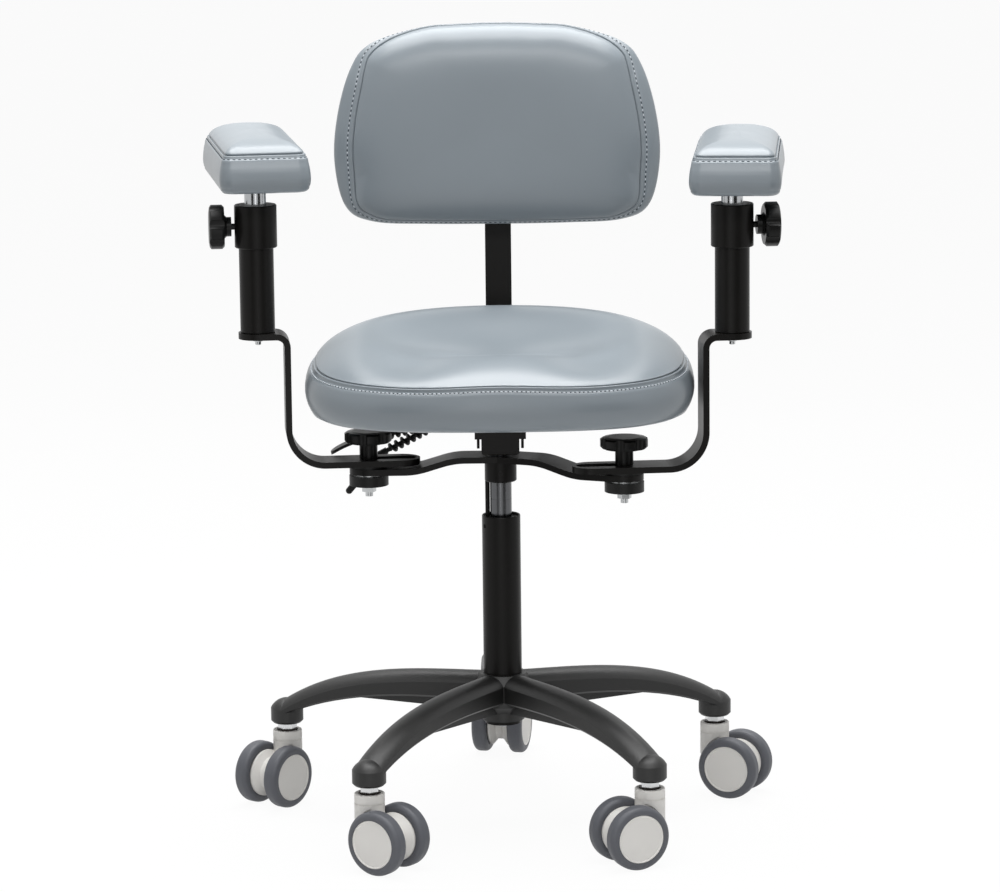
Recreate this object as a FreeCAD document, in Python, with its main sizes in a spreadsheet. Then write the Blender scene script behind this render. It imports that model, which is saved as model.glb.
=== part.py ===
"""Microscope chair: a five-star base on twin-wheel casters, a gas column, a contoured seat, a
backrest on a hinged bar and two armrests on swinging, sliding and rising arms.

Millimetres and degrees. The origin is on the floor under the column, +Z is up, and the sitter
faces -Y. Left and right are the sitter's: the right armrest is on the -X side.
"""
import FreeCAD, Part
import math
import os
import re
import Sketcher
from FreeCAD import Placement, Rotation, Vector

os.makedirs("parts", exist_ok=True)

# Driving dimensions
SIZES = {
    # Fits
    "running_gap": 0.3,
    "pin_gap": 0.05,
    "soft_gap": 0.3,
    # Casters
    "wheel_diameter": 82,
    "wheel_width": 21,
    "wheel_spacing": 50,
    "tyre_depth": 10,
    "tyre_round": 7,
    "hub_cap_recess": 1,
    "hub_rim_width": 2.5,
    "axle_diameter": 8,
    "caster_trail": 30,
    "neck_diameter": 38.5,
    "neck_rise": 55.3,
    "neck_skirt_rise": 12,
    "neck_groove_drop": 11,
    "neck_groove_height": 2,
    "neck_groove_depth": 0.8,
    "drum_flange_diameter": 62,
    "drum_waist_diameter": 46,
    "drum_flange_thick": 2.5,
    "drum_gap": 1,
    "wheel_clearance": 1.5,
    "stem_diameter": 11,
    "stem_depth": 32,
    "stem_show": 10,
    "stem_grip": 28,
    "stem_collar_diameter": 26,
    "stem_collar_height": 3.5,
    "stem_nut_width": 22,
    # Star base
    "base_reach": 300,
    "base_turn": 1.65,
    "base_arm_width": 43,
    "base_arch_rise": 13,
    "base_arm_edge": 3,
    "base_middle_back": 150,
    "base_knee_back": 50,
    "base_root_rise": 86,
    "base_middle_rise": 80,
    "base_knee_rise": 58,
    "boss_rise": 33,
    "base_root_under": 48,
    "base_middle_under": 48,
    "base_knee_under": 31,
    "boss_under": 12,
    "keel_thick": 17,
    "keel_back": 95,
    "keel_drop": 14,
    "hub_lift": 23,
    "hub_height": 62,
    "hub_diameter": 74,
    "hub_rim_diameter": 62,
    "hub_ring_diameter": 56,
    "hub_ring_height": 12,
    # Column
    "tube_diameter": 50,
    "tube_wall": 2,
    "tube_taper": 1.6,
    "tube_stick_out": 5,
    "tube_rise": 210,
    "tube_floor": 6,
    "tube_lip": 1.2,
    "tube_hole_diameter": 5,
    "tube_hole_drop": 13,
    "bush_height": 57,
    "bush_set_down": 3,
    "cylinder_diameter": 28,
    "cylinder_wall": 2,
    "cylinder_show": 45,
    "cylinder_reach_down": 205,
    "cylinder_end_wall": 15,
    "cylinder_head": 26,
    "cylinder_line_rise": 23,
    "cylinder_line_depth": 0.5,
    "button_diameter": 8,
    "button_height": 4,
    "rod_diameter": 10,
    "rod_tip_diameter": 8,
    "rod_tip_length": 6,
    "piston_height": 16,
    "piston_drop": 67,
    "bearing_diameter": 22,
    "bearing_race": 2,
    "bearing_ball": 3,
    "clip_diameter": 14,
    "clip_thick": 1.5,
    "guide_rod_diameter": 6,
    "guide_rod_offset": 17.4,
    "guide_rod_reach_down": 143,
    "guide_rod_grip": 15,
    # Armrest carrier
    "bar_width": 50,
    "bar_thick": 8,
    "collar_diameter": 41.5,
    "collar_height": 27,
    "carrier_flat": 60,
    "carrier_bend": 50,
    "carrier_drop": 15,
    "carrier_bend_radius": 100,
    "carrier_heading": 180,
    "carrier_spread": 158,
    "collar_screw_diameter": 6,
    "collar_screw_drop": 15,
    # Pivots of the armrests
    "pivot_bolt_diameter": 10,
    "friction_washer_thick": 3,
    "friction_washer_diameter": 48,
    "plain_washer_thick": 2.5,
    "plain_washer_diameter": 40,
    "pivot_disc_diameter": 51,
    "pivot_disc_thick": 13,
    "flange_nut_diameter": 23,
    "flange_nut_width": 16,
    "flange_nut_height": 9,
    "bolt_stick_out": 6,
    "bolt_grip": 17,
    "slot_width": 20,
    "slot_length": 52,
    "pivot_knob_diameter": 62,
    "pivot_knob_thick": 15,
    "pivot_knob_stem": 21,
    "pivot_knob_stem_diameter": 23.5,
    "knob_edge": 3,
    "pivot_knob_scallop": 16,
    # Armrest arms
    "arm_heading_right": 185,
    "arm_heading_left": 5.3,
    "arm_tail": 67,
    "arm_upright": 103,
    "arm_side_gap": 24,
    "arm_rise": 177,
    "arm_low_bend": 47,
    "arm_high_bend": 14,
    "post_offset": 140,
    "post_diameter": 44.5,
    "post_height": 110,
    "post_bore": 28,
    "post_floor": 15,
    "post_edge": 1,
    "sleeve_diameter": 54.5,
    "sleeve_height": 55,
    "post_screw_diameter": 8,
    "post_screw_head": 14,
    "post_screw_head_height": 4,
    "post_screw_grip": 11,
    "post_rod_show_right": 23.4,
    "post_rod_show_left": 18.4,
    "post_rod_depth": 126,
    "pad_spigot": 12,
    "post_knob_diameter": 57,
    "post_knob_thick": 20,
    "post_knob_neck": 9,
    "post_knob_neck_diameter": 25,
    "post_knob_gap": 4,
    "post_knob_stud": 8,
    "post_knob_drop": 28,
    "post_knob_scallop": 15,
    # Armrest pads
    "pad_turn_right": 8.5,
    "pad_turn_left": -4.8,
    "pad_width": 116,
    "pad_aside": 6,
    "pad_ahead": 96,
    "pad_behind": 206,
    "pad_seam_rise": 49.5,
    "pad_crown": 13,
    "pad_side_draw": 4.5,
    "pad_front_corner": 16,
    "pad_rear_corner": 36,
    "pad_roll": 9,
    "pad_crown_inset": 30,
    "pad_plate_width": 76,
    "pad_plate_length": 170,
    "pad_plate_thick": 5,
    # Seat mechanism
    "housing_gap": 5,
    "housing_width": 49,
    "housing_depth": 22,
    "housing_front": 40,
    "housing_back": 112,
    "flange_width": 66,
    "flange_depth": 27,
    "flange_lip": 4,
    "plate_width": 160,
    "plate_front": 80,
    "plate_margin": 16,
    "plate_thick": 3,
    "housing_round": 5,
    "hanging_screw_diameter": 3.6,
    "hanging_screw_length": 30,
    "hanging_screw_drop": 13,
    "hanging_screw_spread": 57,
    "hanging_screw_front": 36,
    "seat_bolt_diameter": 6,
    "seat_bolt_head": 11,
    "seat_bolt_head_height": 4,
    "seat_bolt_length": 12,
    "seat_bolt_inset": 14,
    # Levers
    "lever_rod_diameter": 9,
    "lever_core_diameter": 6,
    "lever_slot_width": 11,
    "lever_slot_depth": 19,
    "lever_hinge_inset": 8,
    "lever_drop": 9,
    "trunnion_diameter": 6,
    "trunnion_length": 22,
    "lift_lever_back": 50,
    "lift_lever_root": 6,
    "lift_lever_slope": 13,
    "lift_lever_length": 159,
    "lift_spring_start": 36,
    "paddle_length": 42,
    "paddle_width": 24,
    "paddle_thick": 4,
    "paddle_curl": 8,
    "tilt_lever_back": 85,
    "tilt_lever_root": 20,
    "tilt_lever_slope": 27.5,
    "tilt_lever_length": 128,
    "tilt_spring_start": 28,
    "tilt_tip_slope": 49.5,
    "tilt_tip_length": 64,
    "spring_wire": 4,
    "spring_pitch": 9,
    "spring_turns": 9,
    # Back
    "back_pin_diameter": 10,
    "back_pin_length": 42,
    "back_pin_rear": 134,
    "back_pin_drop": 17,
    "back_lug_width": 24,
    "back_lug_diameter": 24,
    "back_bar_width": 35,
    "back_bar_thick": 8,
    "back_bar_rear": 226,
    "back_bar_bend": 26,
    "back_bar_rise": 425,
    "back_recline": 4,
    "bracket_wall": 4,
    "bracket_height": 90,
    "bracket_rise": 368,
    "back_plate_width": 120,
    "back_plate_height": 130,
    "back_plate_thick": 4,
    "back_board_width": 370,
    "back_board_height": 200,
    "back_board_thick": 9,
    "back_cushion_width": 434,
    "back_cushion_height": 267,
    "back_cushion_band": 34,
    "back_cushion_crown": 15,
    "back_side_draw": 10,
    # Seat
    "seat_width": 500,
    "seat_depth": 390,
    "seat_ahead": 212,
    "seat_band": 54,
    "seat_side_rise": 26,
    "seat_side_run": 400,
    "seat_front_crown": 20,
    "seat_rear_crown": 43,
    "seat_side_draw": 13,
    "seat_seam_draw": 12,
    "seat_end_lift": 9,
    "seat_dish": 18,
    "seat_dish_width": 330,
    "seat_dish_length": 250,
    "seat_dish_back": 35,
    "thigh_channel_depth": 13,
    "thigh_channel_width": 96,
    "thigh_channel_spread": 216,
    "thigh_channel_reach": 210,
    "board_thick": 11.7,
    "board_inset": 62,
    "board_let_in": 6,
    "board_corner": 90,
}

# Levels and places worked out from the driving dimensions
WORKED_OUT = {
    "axle_level": "wheel_diameter / 2",
    "neck_top": "axle_level + neck_rise",
    "boss_low": "neck_top + stem_show",
    "hub_low": "boss_low + hub_lift",
    "hub_top": "hub_low + hub_height",
    "tube_low": "hub_low - tube_stick_out",
    "tube_top": "hub_top + tube_rise",
    "tube_bore": "tube_diameter - 2 * tube_wall",
    "floor_top": "tube_low + tube_floor",
    "bush_top": "tube_top - bush_set_down",
    "bush_low": "bush_top - bush_height",
    "collar_low": "tube_top + cylinder_show",
    "carrier_low": "collar_low + collar_height",
    "carrier_top": "carrier_low + bar_thick",
    "carrier_end_low": "carrier_low - carrier_drop",
    "carrier_end_top": "carrier_end_low + bar_thick",
    "washer_top": "carrier_end_top + friction_washer_thick",
    "arm_low": "washer_top + running_gap",
    "arm_top": "arm_low + bar_thick",
    "pivot_knob_low": "arm_top + running_gap",
    "pivot_knob_top": "pivot_knob_low + pivot_knob_stem + pivot_knob_thick",
    "disc_top": "carrier_end_low - plain_washer_thick",
    "disc_low": "disc_top - pivot_disc_thick",
    "nut_low": "disc_low - flange_nut_height",
    "bolt_low": "nut_low - bolt_stick_out",
    "bolt_top": "pivot_knob_low + bolt_grip",
    "carrier_reach": "seat_width / 2 + arm_side_gap - arm_upright",
    "pivot_right_x": "carrier_reach * cos(carrier_heading)",
    "pivot_right_y": "carrier_reach * sin(carrier_heading)",
    "pivot_left_x": "carrier_reach * cos(carrier_heading + carrier_spread)",
    "pivot_left_y": "carrier_reach * sin(carrier_heading + carrier_spread)",
    "tab_top": "arm_low + arm_rise",
    "post_top": "tab_top + post_height",
    "sleeve_top": "post_top + sleeve_height",
    "pad_right_low": "sleeve_top + post_rod_show_right",
    "pad_left_low": "sleeve_top + post_rod_show_left",
    "post_knob_level": "sleeve_top - post_knob_drop",
    "post_right_x": "pivot_right_x + post_offset * cos(arm_heading_right)",
    "post_right_y": "pivot_right_y + post_offset * sin(arm_heading_right)",
    "post_left_x": "pivot_left_x + post_offset * cos(arm_heading_left)",
    "post_left_y": "pivot_left_y + post_offset * sin(arm_heading_left)",
    "housing_low": "carrier_top + housing_gap",
    "flange_low": "housing_low + housing_depth",
    "plate_low": "flange_low + flange_depth",
    "plate_top": "plate_low + plate_thick",
    "board_top": "plate_top + board_thick",
    "cushion_low": "board_top - board_let_in",
    "plate_back": "seat_depth - seat_ahead - board_inset - plate_margin",
    "cylinder_top": "plate_low - button_height - 2",
    "cylinder_low": "tube_top - cylinder_reach_down",
    "piston_top": "tube_top - piston_drop",
    "bearing_top": "floor_top + 2 * bearing_race + bearing_ball",
    "lever_level": "plate_low - lever_drop",
    "lever_hinge_x": "-flange_width / 2 + lever_hinge_inset",
    "spring_length": "spring_turns * spring_pitch",
    "spring_radius": "lever_core_diameter / 2 + running_gap + spring_wire / 2",
    "back_pin_level": "plate_low - back_pin_drop",
    "seat_middle": "seat_depth / 2 - seat_ahead",
}

doc = FreeCAD.newDocument("microscope_chair")
sheet = doc.addObject("Spreadsheet::Sheet", "Sizes")
for row, (alias, number) in enumerate(SIZES.items(), start=1):
    sheet.set(f"A{row}", alias)
    sheet.set(f"B{row}", str(number))
    sheet.setAlias(f"B{row}", alias)
doc.recompute()


def bound(formula):
    """Turn a formula in size names into an expression that reads the document."""

    def owner(word):
        name = word.group(0)
        if name in SIZES:
            return "Sizes." + name
        if name in WORKED_OUT:
            return "Levels." + name
        return name

    return re.sub(r"[a-z]\w*", owner, formula)


levels = doc.addObject("App::FeaturePython", "Levels")
for name, formula in WORKED_OUT.items():
    levels.addProperty("App::PropertyFloat", name)
    levels.setExpression(name, bound(formula))
doc.recompute()


def value(name):
    """Number of a driving or worked-out size, for shapes made with Part's functions."""
    return float(sheet.get(name)) if name in SIZES else float(getattr(levels, name))


# Helpers for sketches and features

def new_body(label):
    """Empty body named for its piece."""
    return doc.addObject("PartDesign::Body", label)


def sketch_on(body, role, shift=("0", "0", "0")):
    """Sketch on one of the body's origin planes, moved by shift in the plane's own axes."""
    plane = next(item for item in body.Origin.OriginFeatures if item.Role == role)
    sketch = body.newObject("Sketcher::SketchObject", body.Name + "_sketch")
    sketch.AttachmentSupport = [(plane, "")]
    sketch.MapMode = "FlatFace"
    for axis, formula in zip("xyz", shift):
        if formula != "0":
            sketch.setExpression(f"AttachmentOffset.Base.{axis}", bound(formula))
    return sketch


def pin_point(sketch, curve, point, x, y):
    """Hold a point of a sketch curve at x, y, each a formula."""
    for kind, axis, formula in (("DistanceX", -2, x), ("DistanceY", -1, y)):
        if formula == "0":
            sketch.addConstraint(Sketcher.Constraint("PointOnObject", curve, point, axis))
        else:
            number = sketch.addConstraint(Sketcher.Constraint(kind, -1, 1, curve, point, 1.0))
            sketch.setExpression(f"Constraints[{number}]", bound(formula))


def polygon(sketch, corners):
    """Closed outline of straight lines through corners given as pairs of formulas."""
    first = sketch.GeometryCount
    count = len(corners)
    start = [Vector(1, 0, 0), Vector(0, 1, 0)]
    spots = [
        start[0] * math.cos(2 * math.pi * step / count) + start[1] * math.sin(2 * math.pi * step / count)
        for step in range(count)
    ]
    for step in range(count):
        sketch.addGeometry(Part.LineSegment(spots[step], spots[(step + 1) % count]))
    for step in range(count):
        following = first + (step + 1) % count
        sketch.addConstraint(Sketcher.Constraint("Coincident", first + step, 2, following, 1))
    for step, (x, y) in enumerate(corners):
        pin_point(sketch, first + step, 1, x, y)


def rectangle(sketch, left, right, low, high):
    """Outline of a rectangle between four formulas."""
    polygon(sketch, [(left, low), (right, low), (right, high), (left, high)])


def circle(sketch, diameter, x="0", y="0"):
    """Circle whose diameter and centre are formulas."""
    number = sketch.addGeometry(Part.Circle(Vector(1, 1, 0), Vector(0, 0, 1), 1))
    pin_point(sketch, number, 3, x, y)
    constraint = sketch.addConstraint(Sketcher.Constraint("Diameter", number, 2.0))
    sketch.setExpression(f"Constraints[{constraint}]", bound(diameter))


def pad(body, sketch, length, side="One side", reverse=False):
    """Raise a sketch by a length."""
    feature = body.newObject("PartDesign::Pad", body.Name + "_pad")
    feature.Profile = sketch
    feature.setExpression("Length", bound(length))
    feature.SideType = side
    feature.Reversed = reverse
    doc.recompute()
    return feature


def pocket(body, sketch, length, side="One side", reverse=False):
    """Cut a sketch into the body by a length, and make sure that it cuts."""
    before = body.Shape.Volume
    feature = body.newObject("PartDesign::Pocket", body.Name + "_pocket")
    feature.Profile = sketch
    feature.setExpression("Length", bound(length))
    feature.SideType = side
    feature.Reversed = reverse
    doc.recompute()
    if body.Shape.Volume >= before:
        raise RuntimeError(f"{body.Label}: a pocket cuts nothing")
    return feature


def revolve(body, sketch, kind="Revolution"):
    """Turn a sketch round its own upright axis, as a Revolution or a Groove."""
    feature = body.newObject(f"PartDesign::{kind}", f"{body.Name}_{kind.lower()}")
    feature.Profile = sketch
    feature.ReferenceAxis = (sketch, ["V_Axis"])
    feature.Angle = 360
    doc.recompute()
    return feature


def round_edges(body, radius, test):
    """Fillet those edges of the body that pass the test."""
    base = body.Tip
    names = [f"Edge{step}" for step, edge in enumerate(base.Shape.Edges, start=1) if test(edge)]
    if not names:
        raise RuntimeError(f"{body.Label}: no edge to round")
    feature = body.newObject("PartDesign::Fillet", body.Name + "_fillet")
    feature.Base = (base, names)
    feature.setExpression("Radius", bound(radius))
    doc.recompute()
    return feature


def repeat_round(body, features, count):
    """Repeat features evenly round the body's Z axis."""
    axis = next(item for item in body.Origin.OriginFeatures if item.Role == "Z_Axis")
    feature = body.newObject("PartDesign::PolarPattern", body.Name + "_pattern")
    feature.Originals = features
    feature.Axis = (axis, [""])
    feature.Angle = 360
    feature.Occurrences = count
    body.Tip = feature
    doc.recompute()
    return feature


def place(piece, x="0", y="0", z="0", turn="0", axis=(0, 0, 1)):
    """Bind a piece's place and its turn about an axis to formulas."""
    piece.Placement = Placement(Vector(0, 0, 0), Rotation(Vector(*axis), 1))
    piece.setExpression("Placement.Rotation.Angle", bound(turn))
    for name, formula in (("x", x), ("y", y), ("z", z)):
        piece.setExpression(f"Placement.Base.{name}", bound(formula))


NODES = []


def node(piece, label):
    """Name a finished piece and put it on the list of pieces."""
    piece.Label = label
    NODES.append(piece)
    return piece


def group(label, pieces):
    """Node that holds several like pieces as separate solids."""
    compound = doc.addObject("Part::Compound", label)
    compound.Links = pieces
    return node(compound, label)


def free_form(label, shape):
    """Node whose shape comes from Part's own functions."""
    piece = doc.addObject("Part::Feature", label)
    piece.Shape = shape
    return node(piece, label)


def turned(label, profile, shift=("0", "0", "0"), plane="XZ_Plane"):
    """Body turned from a profile of (radius, height) formulas."""
    body = new_body(label)
    sketch = sketch_on(body, plane, shift)
    polygon(sketch, profile)
    revolve(body, sketch)
    return body


def near(measured, wanted):
    """Whether two lengths are the same within a hundredth."""
    return abs(measured - wanted) < 0.01


# Casters

AXLE_SHIFT = ("caster_trail", "0", "axle_level")
WHEEL_SIDES = ("-", "")
# Sitter's name of each caster, the angle of its base arm and the way that it has swivelled
CASTERS = {
    "front_right": (234, -36),
    "front_left": (306, 205),
    "left": (18, -25),
    "rear": (90, 77),
    "right": (162, 232),
}


def set_on_stem(piece, angle, swivel):
    """Stand a caster piece under the end of its base arm, swivelled about the stem."""
    heading = f"({angle} + base_turn)"
    place(piece, f"base_reach * cos({heading})", f"base_reach * sin({heading})", "0", str(swivel))


def caster_housing(name):
    """Neck round the stem, waisted drum between the wheels and the room that the wheels need."""
    body = turned(name + "_caster_housing", [
        ("0", "axle_level + neck_skirt_rise"),
        ("neck_diameter / 2", "axle_level + neck_skirt_rise"),
        ("neck_diameter / 2", "neck_top - neck_groove_drop - neck_groove_height"),
        ("neck_diameter / 2 - neck_groove_depth", "neck_top - neck_groove_drop - neck_groove_height"),
        ("neck_diameter / 2 - neck_groove_depth", "neck_top - neck_groove_drop"),
        ("neck_diameter / 2", "neck_top - neck_groove_drop"),
        ("neck_diameter / 2", "neck_top - neck_groove_depth"),
        ("neck_diameter / 2 - neck_groove_depth", "neck_top"),
        ("stem_collar_diameter / 2 + running_gap + neck_groove_depth", "neck_top"),
        ("stem_collar_diameter / 2 + running_gap", "neck_top - stem_collar_height / 2"),
        ("0", "neck_top - stem_collar_height / 2"),
    ])
    half = "(wheel_spacing / 2 - wheel_width / 2 - drum_gap)"
    bore = "axle_diameter / 2 + pin_gap"
    drum = sketch_on(body, "XY_Plane", AXLE_SHIFT)
    polygon(drum, [
        (bore, "-" + half),
        ("drum_flange_diameter / 2", "-" + half),
        ("drum_flange_diameter / 2", f"-{half} + drum_flange_thick"),
        ("drum_waist_diameter / 2", f"-{half} / 3"),
        ("drum_waist_diameter / 2", f"{half} / 3"),
        ("drum_flange_diameter / 2", f"{half} - drum_flange_thick"),
        ("drum_flange_diameter / 2", half),
        (bore, half),
    ])
    revolve(body, drum)
    room = sketch_on(body, "XY_Plane", AXLE_SHIFT)
    reach = "wheel_diameter / 2 + wheel_clearance"
    rectangle(room, "0", reach, half, "wheel_spacing")
    rectangle(room, "0", reach, "-wheel_spacing", "-" + half)
    revolve(body, room, "Groove")
    stem = sketch_on(body, "XY_Plane", ("0", "0", "neck_top"))
    circle(stem, "stem_diameter + 2 * pin_gap")
    pocket(body, stem, "stem_depth + running_gap")
    return body


def caster_hub(name, side):
    """Wheel hub with a rimmed outer face and a blind bore for the axle."""
    inner = f"{side}(wheel_spacing / 2 - wheel_width / 2 + hub_cap_recess)"
    outer = f"{side}(wheel_spacing / 2 + wheel_width / 2 - hub_cap_recess)"
    rim = f"{side}(wheel_spacing / 2 + wheel_width / 2)"
    blind = f"{side}(wheel_spacing / 2 + wheel_width / 4)"
    hub_radius = "wheel_diameter / 2 - tyre_depth - pin_gap"
    bore = "axle_diameter / 2 + pin_gap"
    return turned(name + "_hub", [
        ("0", blind),
        ("0", outer),
        (f"{hub_radius} - hub_rim_width", outer),
        (f"{hub_radius} - hub_rim_width + hub_cap_recess", rim),
        (f"{hub_radius} - hub_cap_recess / 2", rim),
        (hub_radius, outer),
        (hub_radius, inner),
        (bore, inner),
        (bore, blind),
    ], AXLE_SHIFT, "XY_Plane")


def caster_axle(name):
    """Axle that carries both wheels."""
    end = "wheel_spacing / 2 + wheel_width / 4 - running_gap"
    return turned(name + "_axle", [
        ("0", f"-({end})"),
        ("axle_diameter / 2", f"-({end})"),
        ("axle_diameter / 2", end),
        ("0", end),
    ], AXLE_SHIFT, "XY_Plane")


def caster_tyre(name, side):
    """Rounded tread round one hub."""
    inner = f"{side}(wheel_spacing / 2 - wheel_width / 2)"
    outer = f"{side}(wheel_spacing / 2 + wheel_width / 2)"
    body = turned(name + "_tyre", [
        ("wheel_diameter / 2 - tyre_depth", inner),
        ("wheel_diameter / 2", inner),
        ("wheel_diameter / 2", outer),
        ("wheel_diameter / 2 - tyre_depth", outer),
    ], AXLE_SHIFT, "XY_Plane")
    tread = value("wheel_diameter") / 2

    def is_shoulder(edge):
        return hasattr(edge.Curve, "Radius") and near(edge.Curve.Radius, tread) and edge.isClosed()

    round_edges(body, "tyre_round", is_shoulder)
    return body


def caster_stem(name):
    """Steel stem with its round collar and hexagon."""
    body = turned(name + "_stem", [
        ("0", "neck_top - stem_depth"),
        ("stem_diameter / 2", "neck_top - stem_depth"),
        ("stem_diameter / 2", "neck_top - stem_collar_height / 2 + running_gap"),
        ("stem_collar_diameter / 2", "neck_top - stem_collar_height / 2 + running_gap"),
        ("stem_collar_diameter / 2", "neck_top + stem_collar_height / 2 + running_gap"),
        ("stem_diameter / 2", "neck_top + stem_collar_height / 2 + running_gap"),
        ("stem_diameter / 2", "boss_low + stem_grip"),
        ("0", "boss_low + stem_grip"),
    ])
    nut = sketch_on(body, "XY_Plane", ("0", "0", "neck_top + stem_collar_height / 2 + running_gap"))
    polygon(nut, [
        (f"stem_nut_width / 2 / cos(30) * cos({corner})", f"stem_nut_width / 2 / cos(30) * sin({corner})")
        for corner in range(10, 370, 60)
    ])
    pad(body, nut, "boss_low - neck_top - stem_collar_height / 2 - running_gap")
    return body


stems = []
for caster, (angle, swivel) in CASTERS.items():
    housing = node(caster_housing(caster), caster + "_caster_housing")
    set_on_stem(housing, angle, swivel)
    wheel_pieces = [caster_hub(caster, side) for side in WHEEL_SIDES] + [caster_axle(caster)]
    tyre_pieces = [caster_tyre(caster, side) for side in WHEEL_SIDES]
    stems.append(caster_stem(caster))
    for piece in wheel_pieces + tyre_pieces + stems[-1:]:
        set_on_stem(piece, angle, swivel)
    group(caster + "_caster_wheels", wheel_pieces)
    group(caster + "_caster_tyres", tyre_pieces)
group("caster_stems", stems)


# Star base

def base_section(reach, rise, under):
    """Section across a base arm: a flat underside with cut edges, upright sides and an arched top."""
    half = value("base_arm_width") / 2
    edge = value("base_arm_edge")
    low = value("boss_low") + under
    top = value("boss_low") + rise
    shoulder = top - value("base_arch_rise")
    corners = [
        Vector(reach, half, shoulder),
        Vector(reach, half, low + edge),
        Vector(reach, half - edge, low),
        Vector(reach, edge - half, low),
        Vector(reach, -half, low + edge),
        Vector(reach, -half, shoulder),
    ]
    lines = [Part.LineSegment(first, second).toShape() for first, second in zip(corners, corners[1:])]
    arch = Part.Arc(corners[-1], Vector(reach, 0, top), corners[0]).toShape()
    return Part.Wire(lines + [arch])


def base_boss():
    """Domed end of a base arm, turned about the caster stem."""
    half = value("base_arm_width") / 2
    edge = value("base_arm_edge")
    reach = value("base_reach")
    low = value("boss_low")
    top = low + value("boss_rise")
    shoulder = top - value("base_arch_rise")
    lean = math.atan2(value("base_arch_rise"), half)
    radius = half / math.sin(2 * lean)
    crown = Vector(reach + radius * math.sin(lean), 0, top - radius + radius * math.cos(lean))
    path = [Vector(reach, 0, low), Vector(reach + half - edge, 0, low), Vector(reach + half, 0, low + edge)]
    path.append(Vector(reach + half, 0, shoulder))
    lines = [Part.LineSegment(first, second).toShape() for first, second in zip(path, path[1:])]
    dome = Part.Arc(path[-1], crown, Vector(reach, 0, top)).toShape()
    spine = Part.LineSegment(Vector(reach, 0, top), path[0]).toShape()
    return Part.Face(Part.Wire(lines + [dome, spine])).revolve(Vector(reach, 0, 0), Vector(0, 0, 1), 360)


def base_keel():
    """Shallow rib under the inner part of a base arm."""
    half = value("keel_thick") / 2
    start = value("hub_ring_diameter") / 2 - value("tube_wall")
    end = value("base_reach") - value("keel_back")
    top = value("boss_low") + value("base_middle_under") + 2 * value("base_arm_edge")
    low = value("boss_low") + value("base_root_under") - value("keel_drop")
    middle_back = value("base_middle_back")
    run_out = (middle_back - value("keel_back")) / (middle_back - value("base_knee_back"))
    fall = value("base_knee_under") - value("base_middle_under")
    tip = value("boss_low") + value("base_middle_under") + fall * run_out + value("base_arm_edge")
    corners = [Vector(start, -half, low), Vector(end, -half, tip)]
    corners += [Vector(end, -half, top), Vector(start, -half, top)]
    face = Part.Face(Part.makePolygon(corners + corners[:1]))
    return face.extrude(Vector(0, 2 * half, 0))


def star_base():
    """Five arched arms with domed ends, keel ribs and a tapered hub."""
    reach = value("base_reach")
    arm = Part.makeLoft([
        base_section(value("tube_bore") / 4, value("base_root_rise"), value("base_root_under")),
        base_section(reach - value("base_middle_back"),
                     value("base_middle_rise"), value("base_middle_under")),
        base_section(reach - value("base_knee_back"), value("base_knee_rise"), value("base_knee_under")),
        base_section(reach, value("boss_rise"), value("boss_under")),
    ], True)
    arm = arm.fuse([base_boss(), base_keel()])
    arms = []
    for angle, swivel in CASTERS.values():
        turned_arm = arm.copy()
        turned_arm.rotate(Vector(0, 0, 0), Vector(0, 0, 1), angle + value("base_turn"))
        arms.append(turned_arm)
    low, top = value("hub_low"), value("hub_top")
    ring = value("hub_ring_diameter") / 2
    outer = value("hub_diameter") / 2
    rim = value("hub_rim_diameter") / 2
    ring_top = low + value("hub_ring_height")
    shoulder = value("boss_low") + value("base_root_rise") - value("base_arch_rise")
    profile = [(0, low), (ring, low), (ring, ring_top), (outer, ring_top + outer - ring), (outer, shoulder)]
    profile += [(rim, top), (0, top)]
    corners = [Vector(radius, 0, height) for radius, height in profile]
    hub = Part.Face(Part.makePolygon(corners + corners[:1])).revolve(Vector(0, 0, 0), Vector(0, 0, 1), 360)
    whole = hub
    for turned_arm in arms:
        whole = whole.fuse(turned_arm)
    gap = value("pin_gap")
    wide = value("tube_diameter") / 2 + gap
    slope = value("tube_taper") / (top - value("tube_low"))
    bores = [Part.makeCone(wide - slope * (top - low), wide, top - low, Vector(0, 0, low))]
    bores.append(Part.makeCylinder(wide, value("base_root_rise"), Vector(0, 0, top)))
    for angle, swivel in CASTERS.values():
        heading = math.radians(angle + value("base_turn"))
        foot = Vector(reach * math.cos(heading), reach * math.sin(heading), value("boss_low"))
        depth = value("stem_grip") + value("running_gap")
        bores.append(Part.makeCylinder(value("stem_diameter") / 2 + gap, depth, foot))
    return whole.cut(bores).removeSplitter()


free_form("star_base", star_base())


# Column

tube = turned("stand_tube", [
    ("rod_tip_diameter / 2 + pin_gap", "tube_low"),
    ("tube_diameter / 2 - tube_taper", "tube_low"),
    ("tube_diameter / 2", "hub_top"),
    ("tube_diameter / 2", "tube_top - tube_lip"),
    ("tube_diameter / 2 - tube_lip / 2", "tube_top"),
    ("tube_bore / 2 + tube_lip / 2", "tube_top"),
    ("tube_bore / 2", "tube_top - tube_lip"),
    ("tube_bore / 2", "hub_top"),
    ("tube_bore / 2 - tube_taper", "floor_top"),
    ("rod_tip_diameter / 2 + pin_gap", "floor_top"),
])
hole = sketch_on(tube, "YZ_Plane", ("0", "0", "-tube_diameter"))
circle(hole, "tube_hole_diameter", "-tube_diameter / 4", "tube_top - tube_hole_drop")
pocket(tube, hole, "tube_diameter", reverse=True)
node(tube, "stand_tube")

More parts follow.
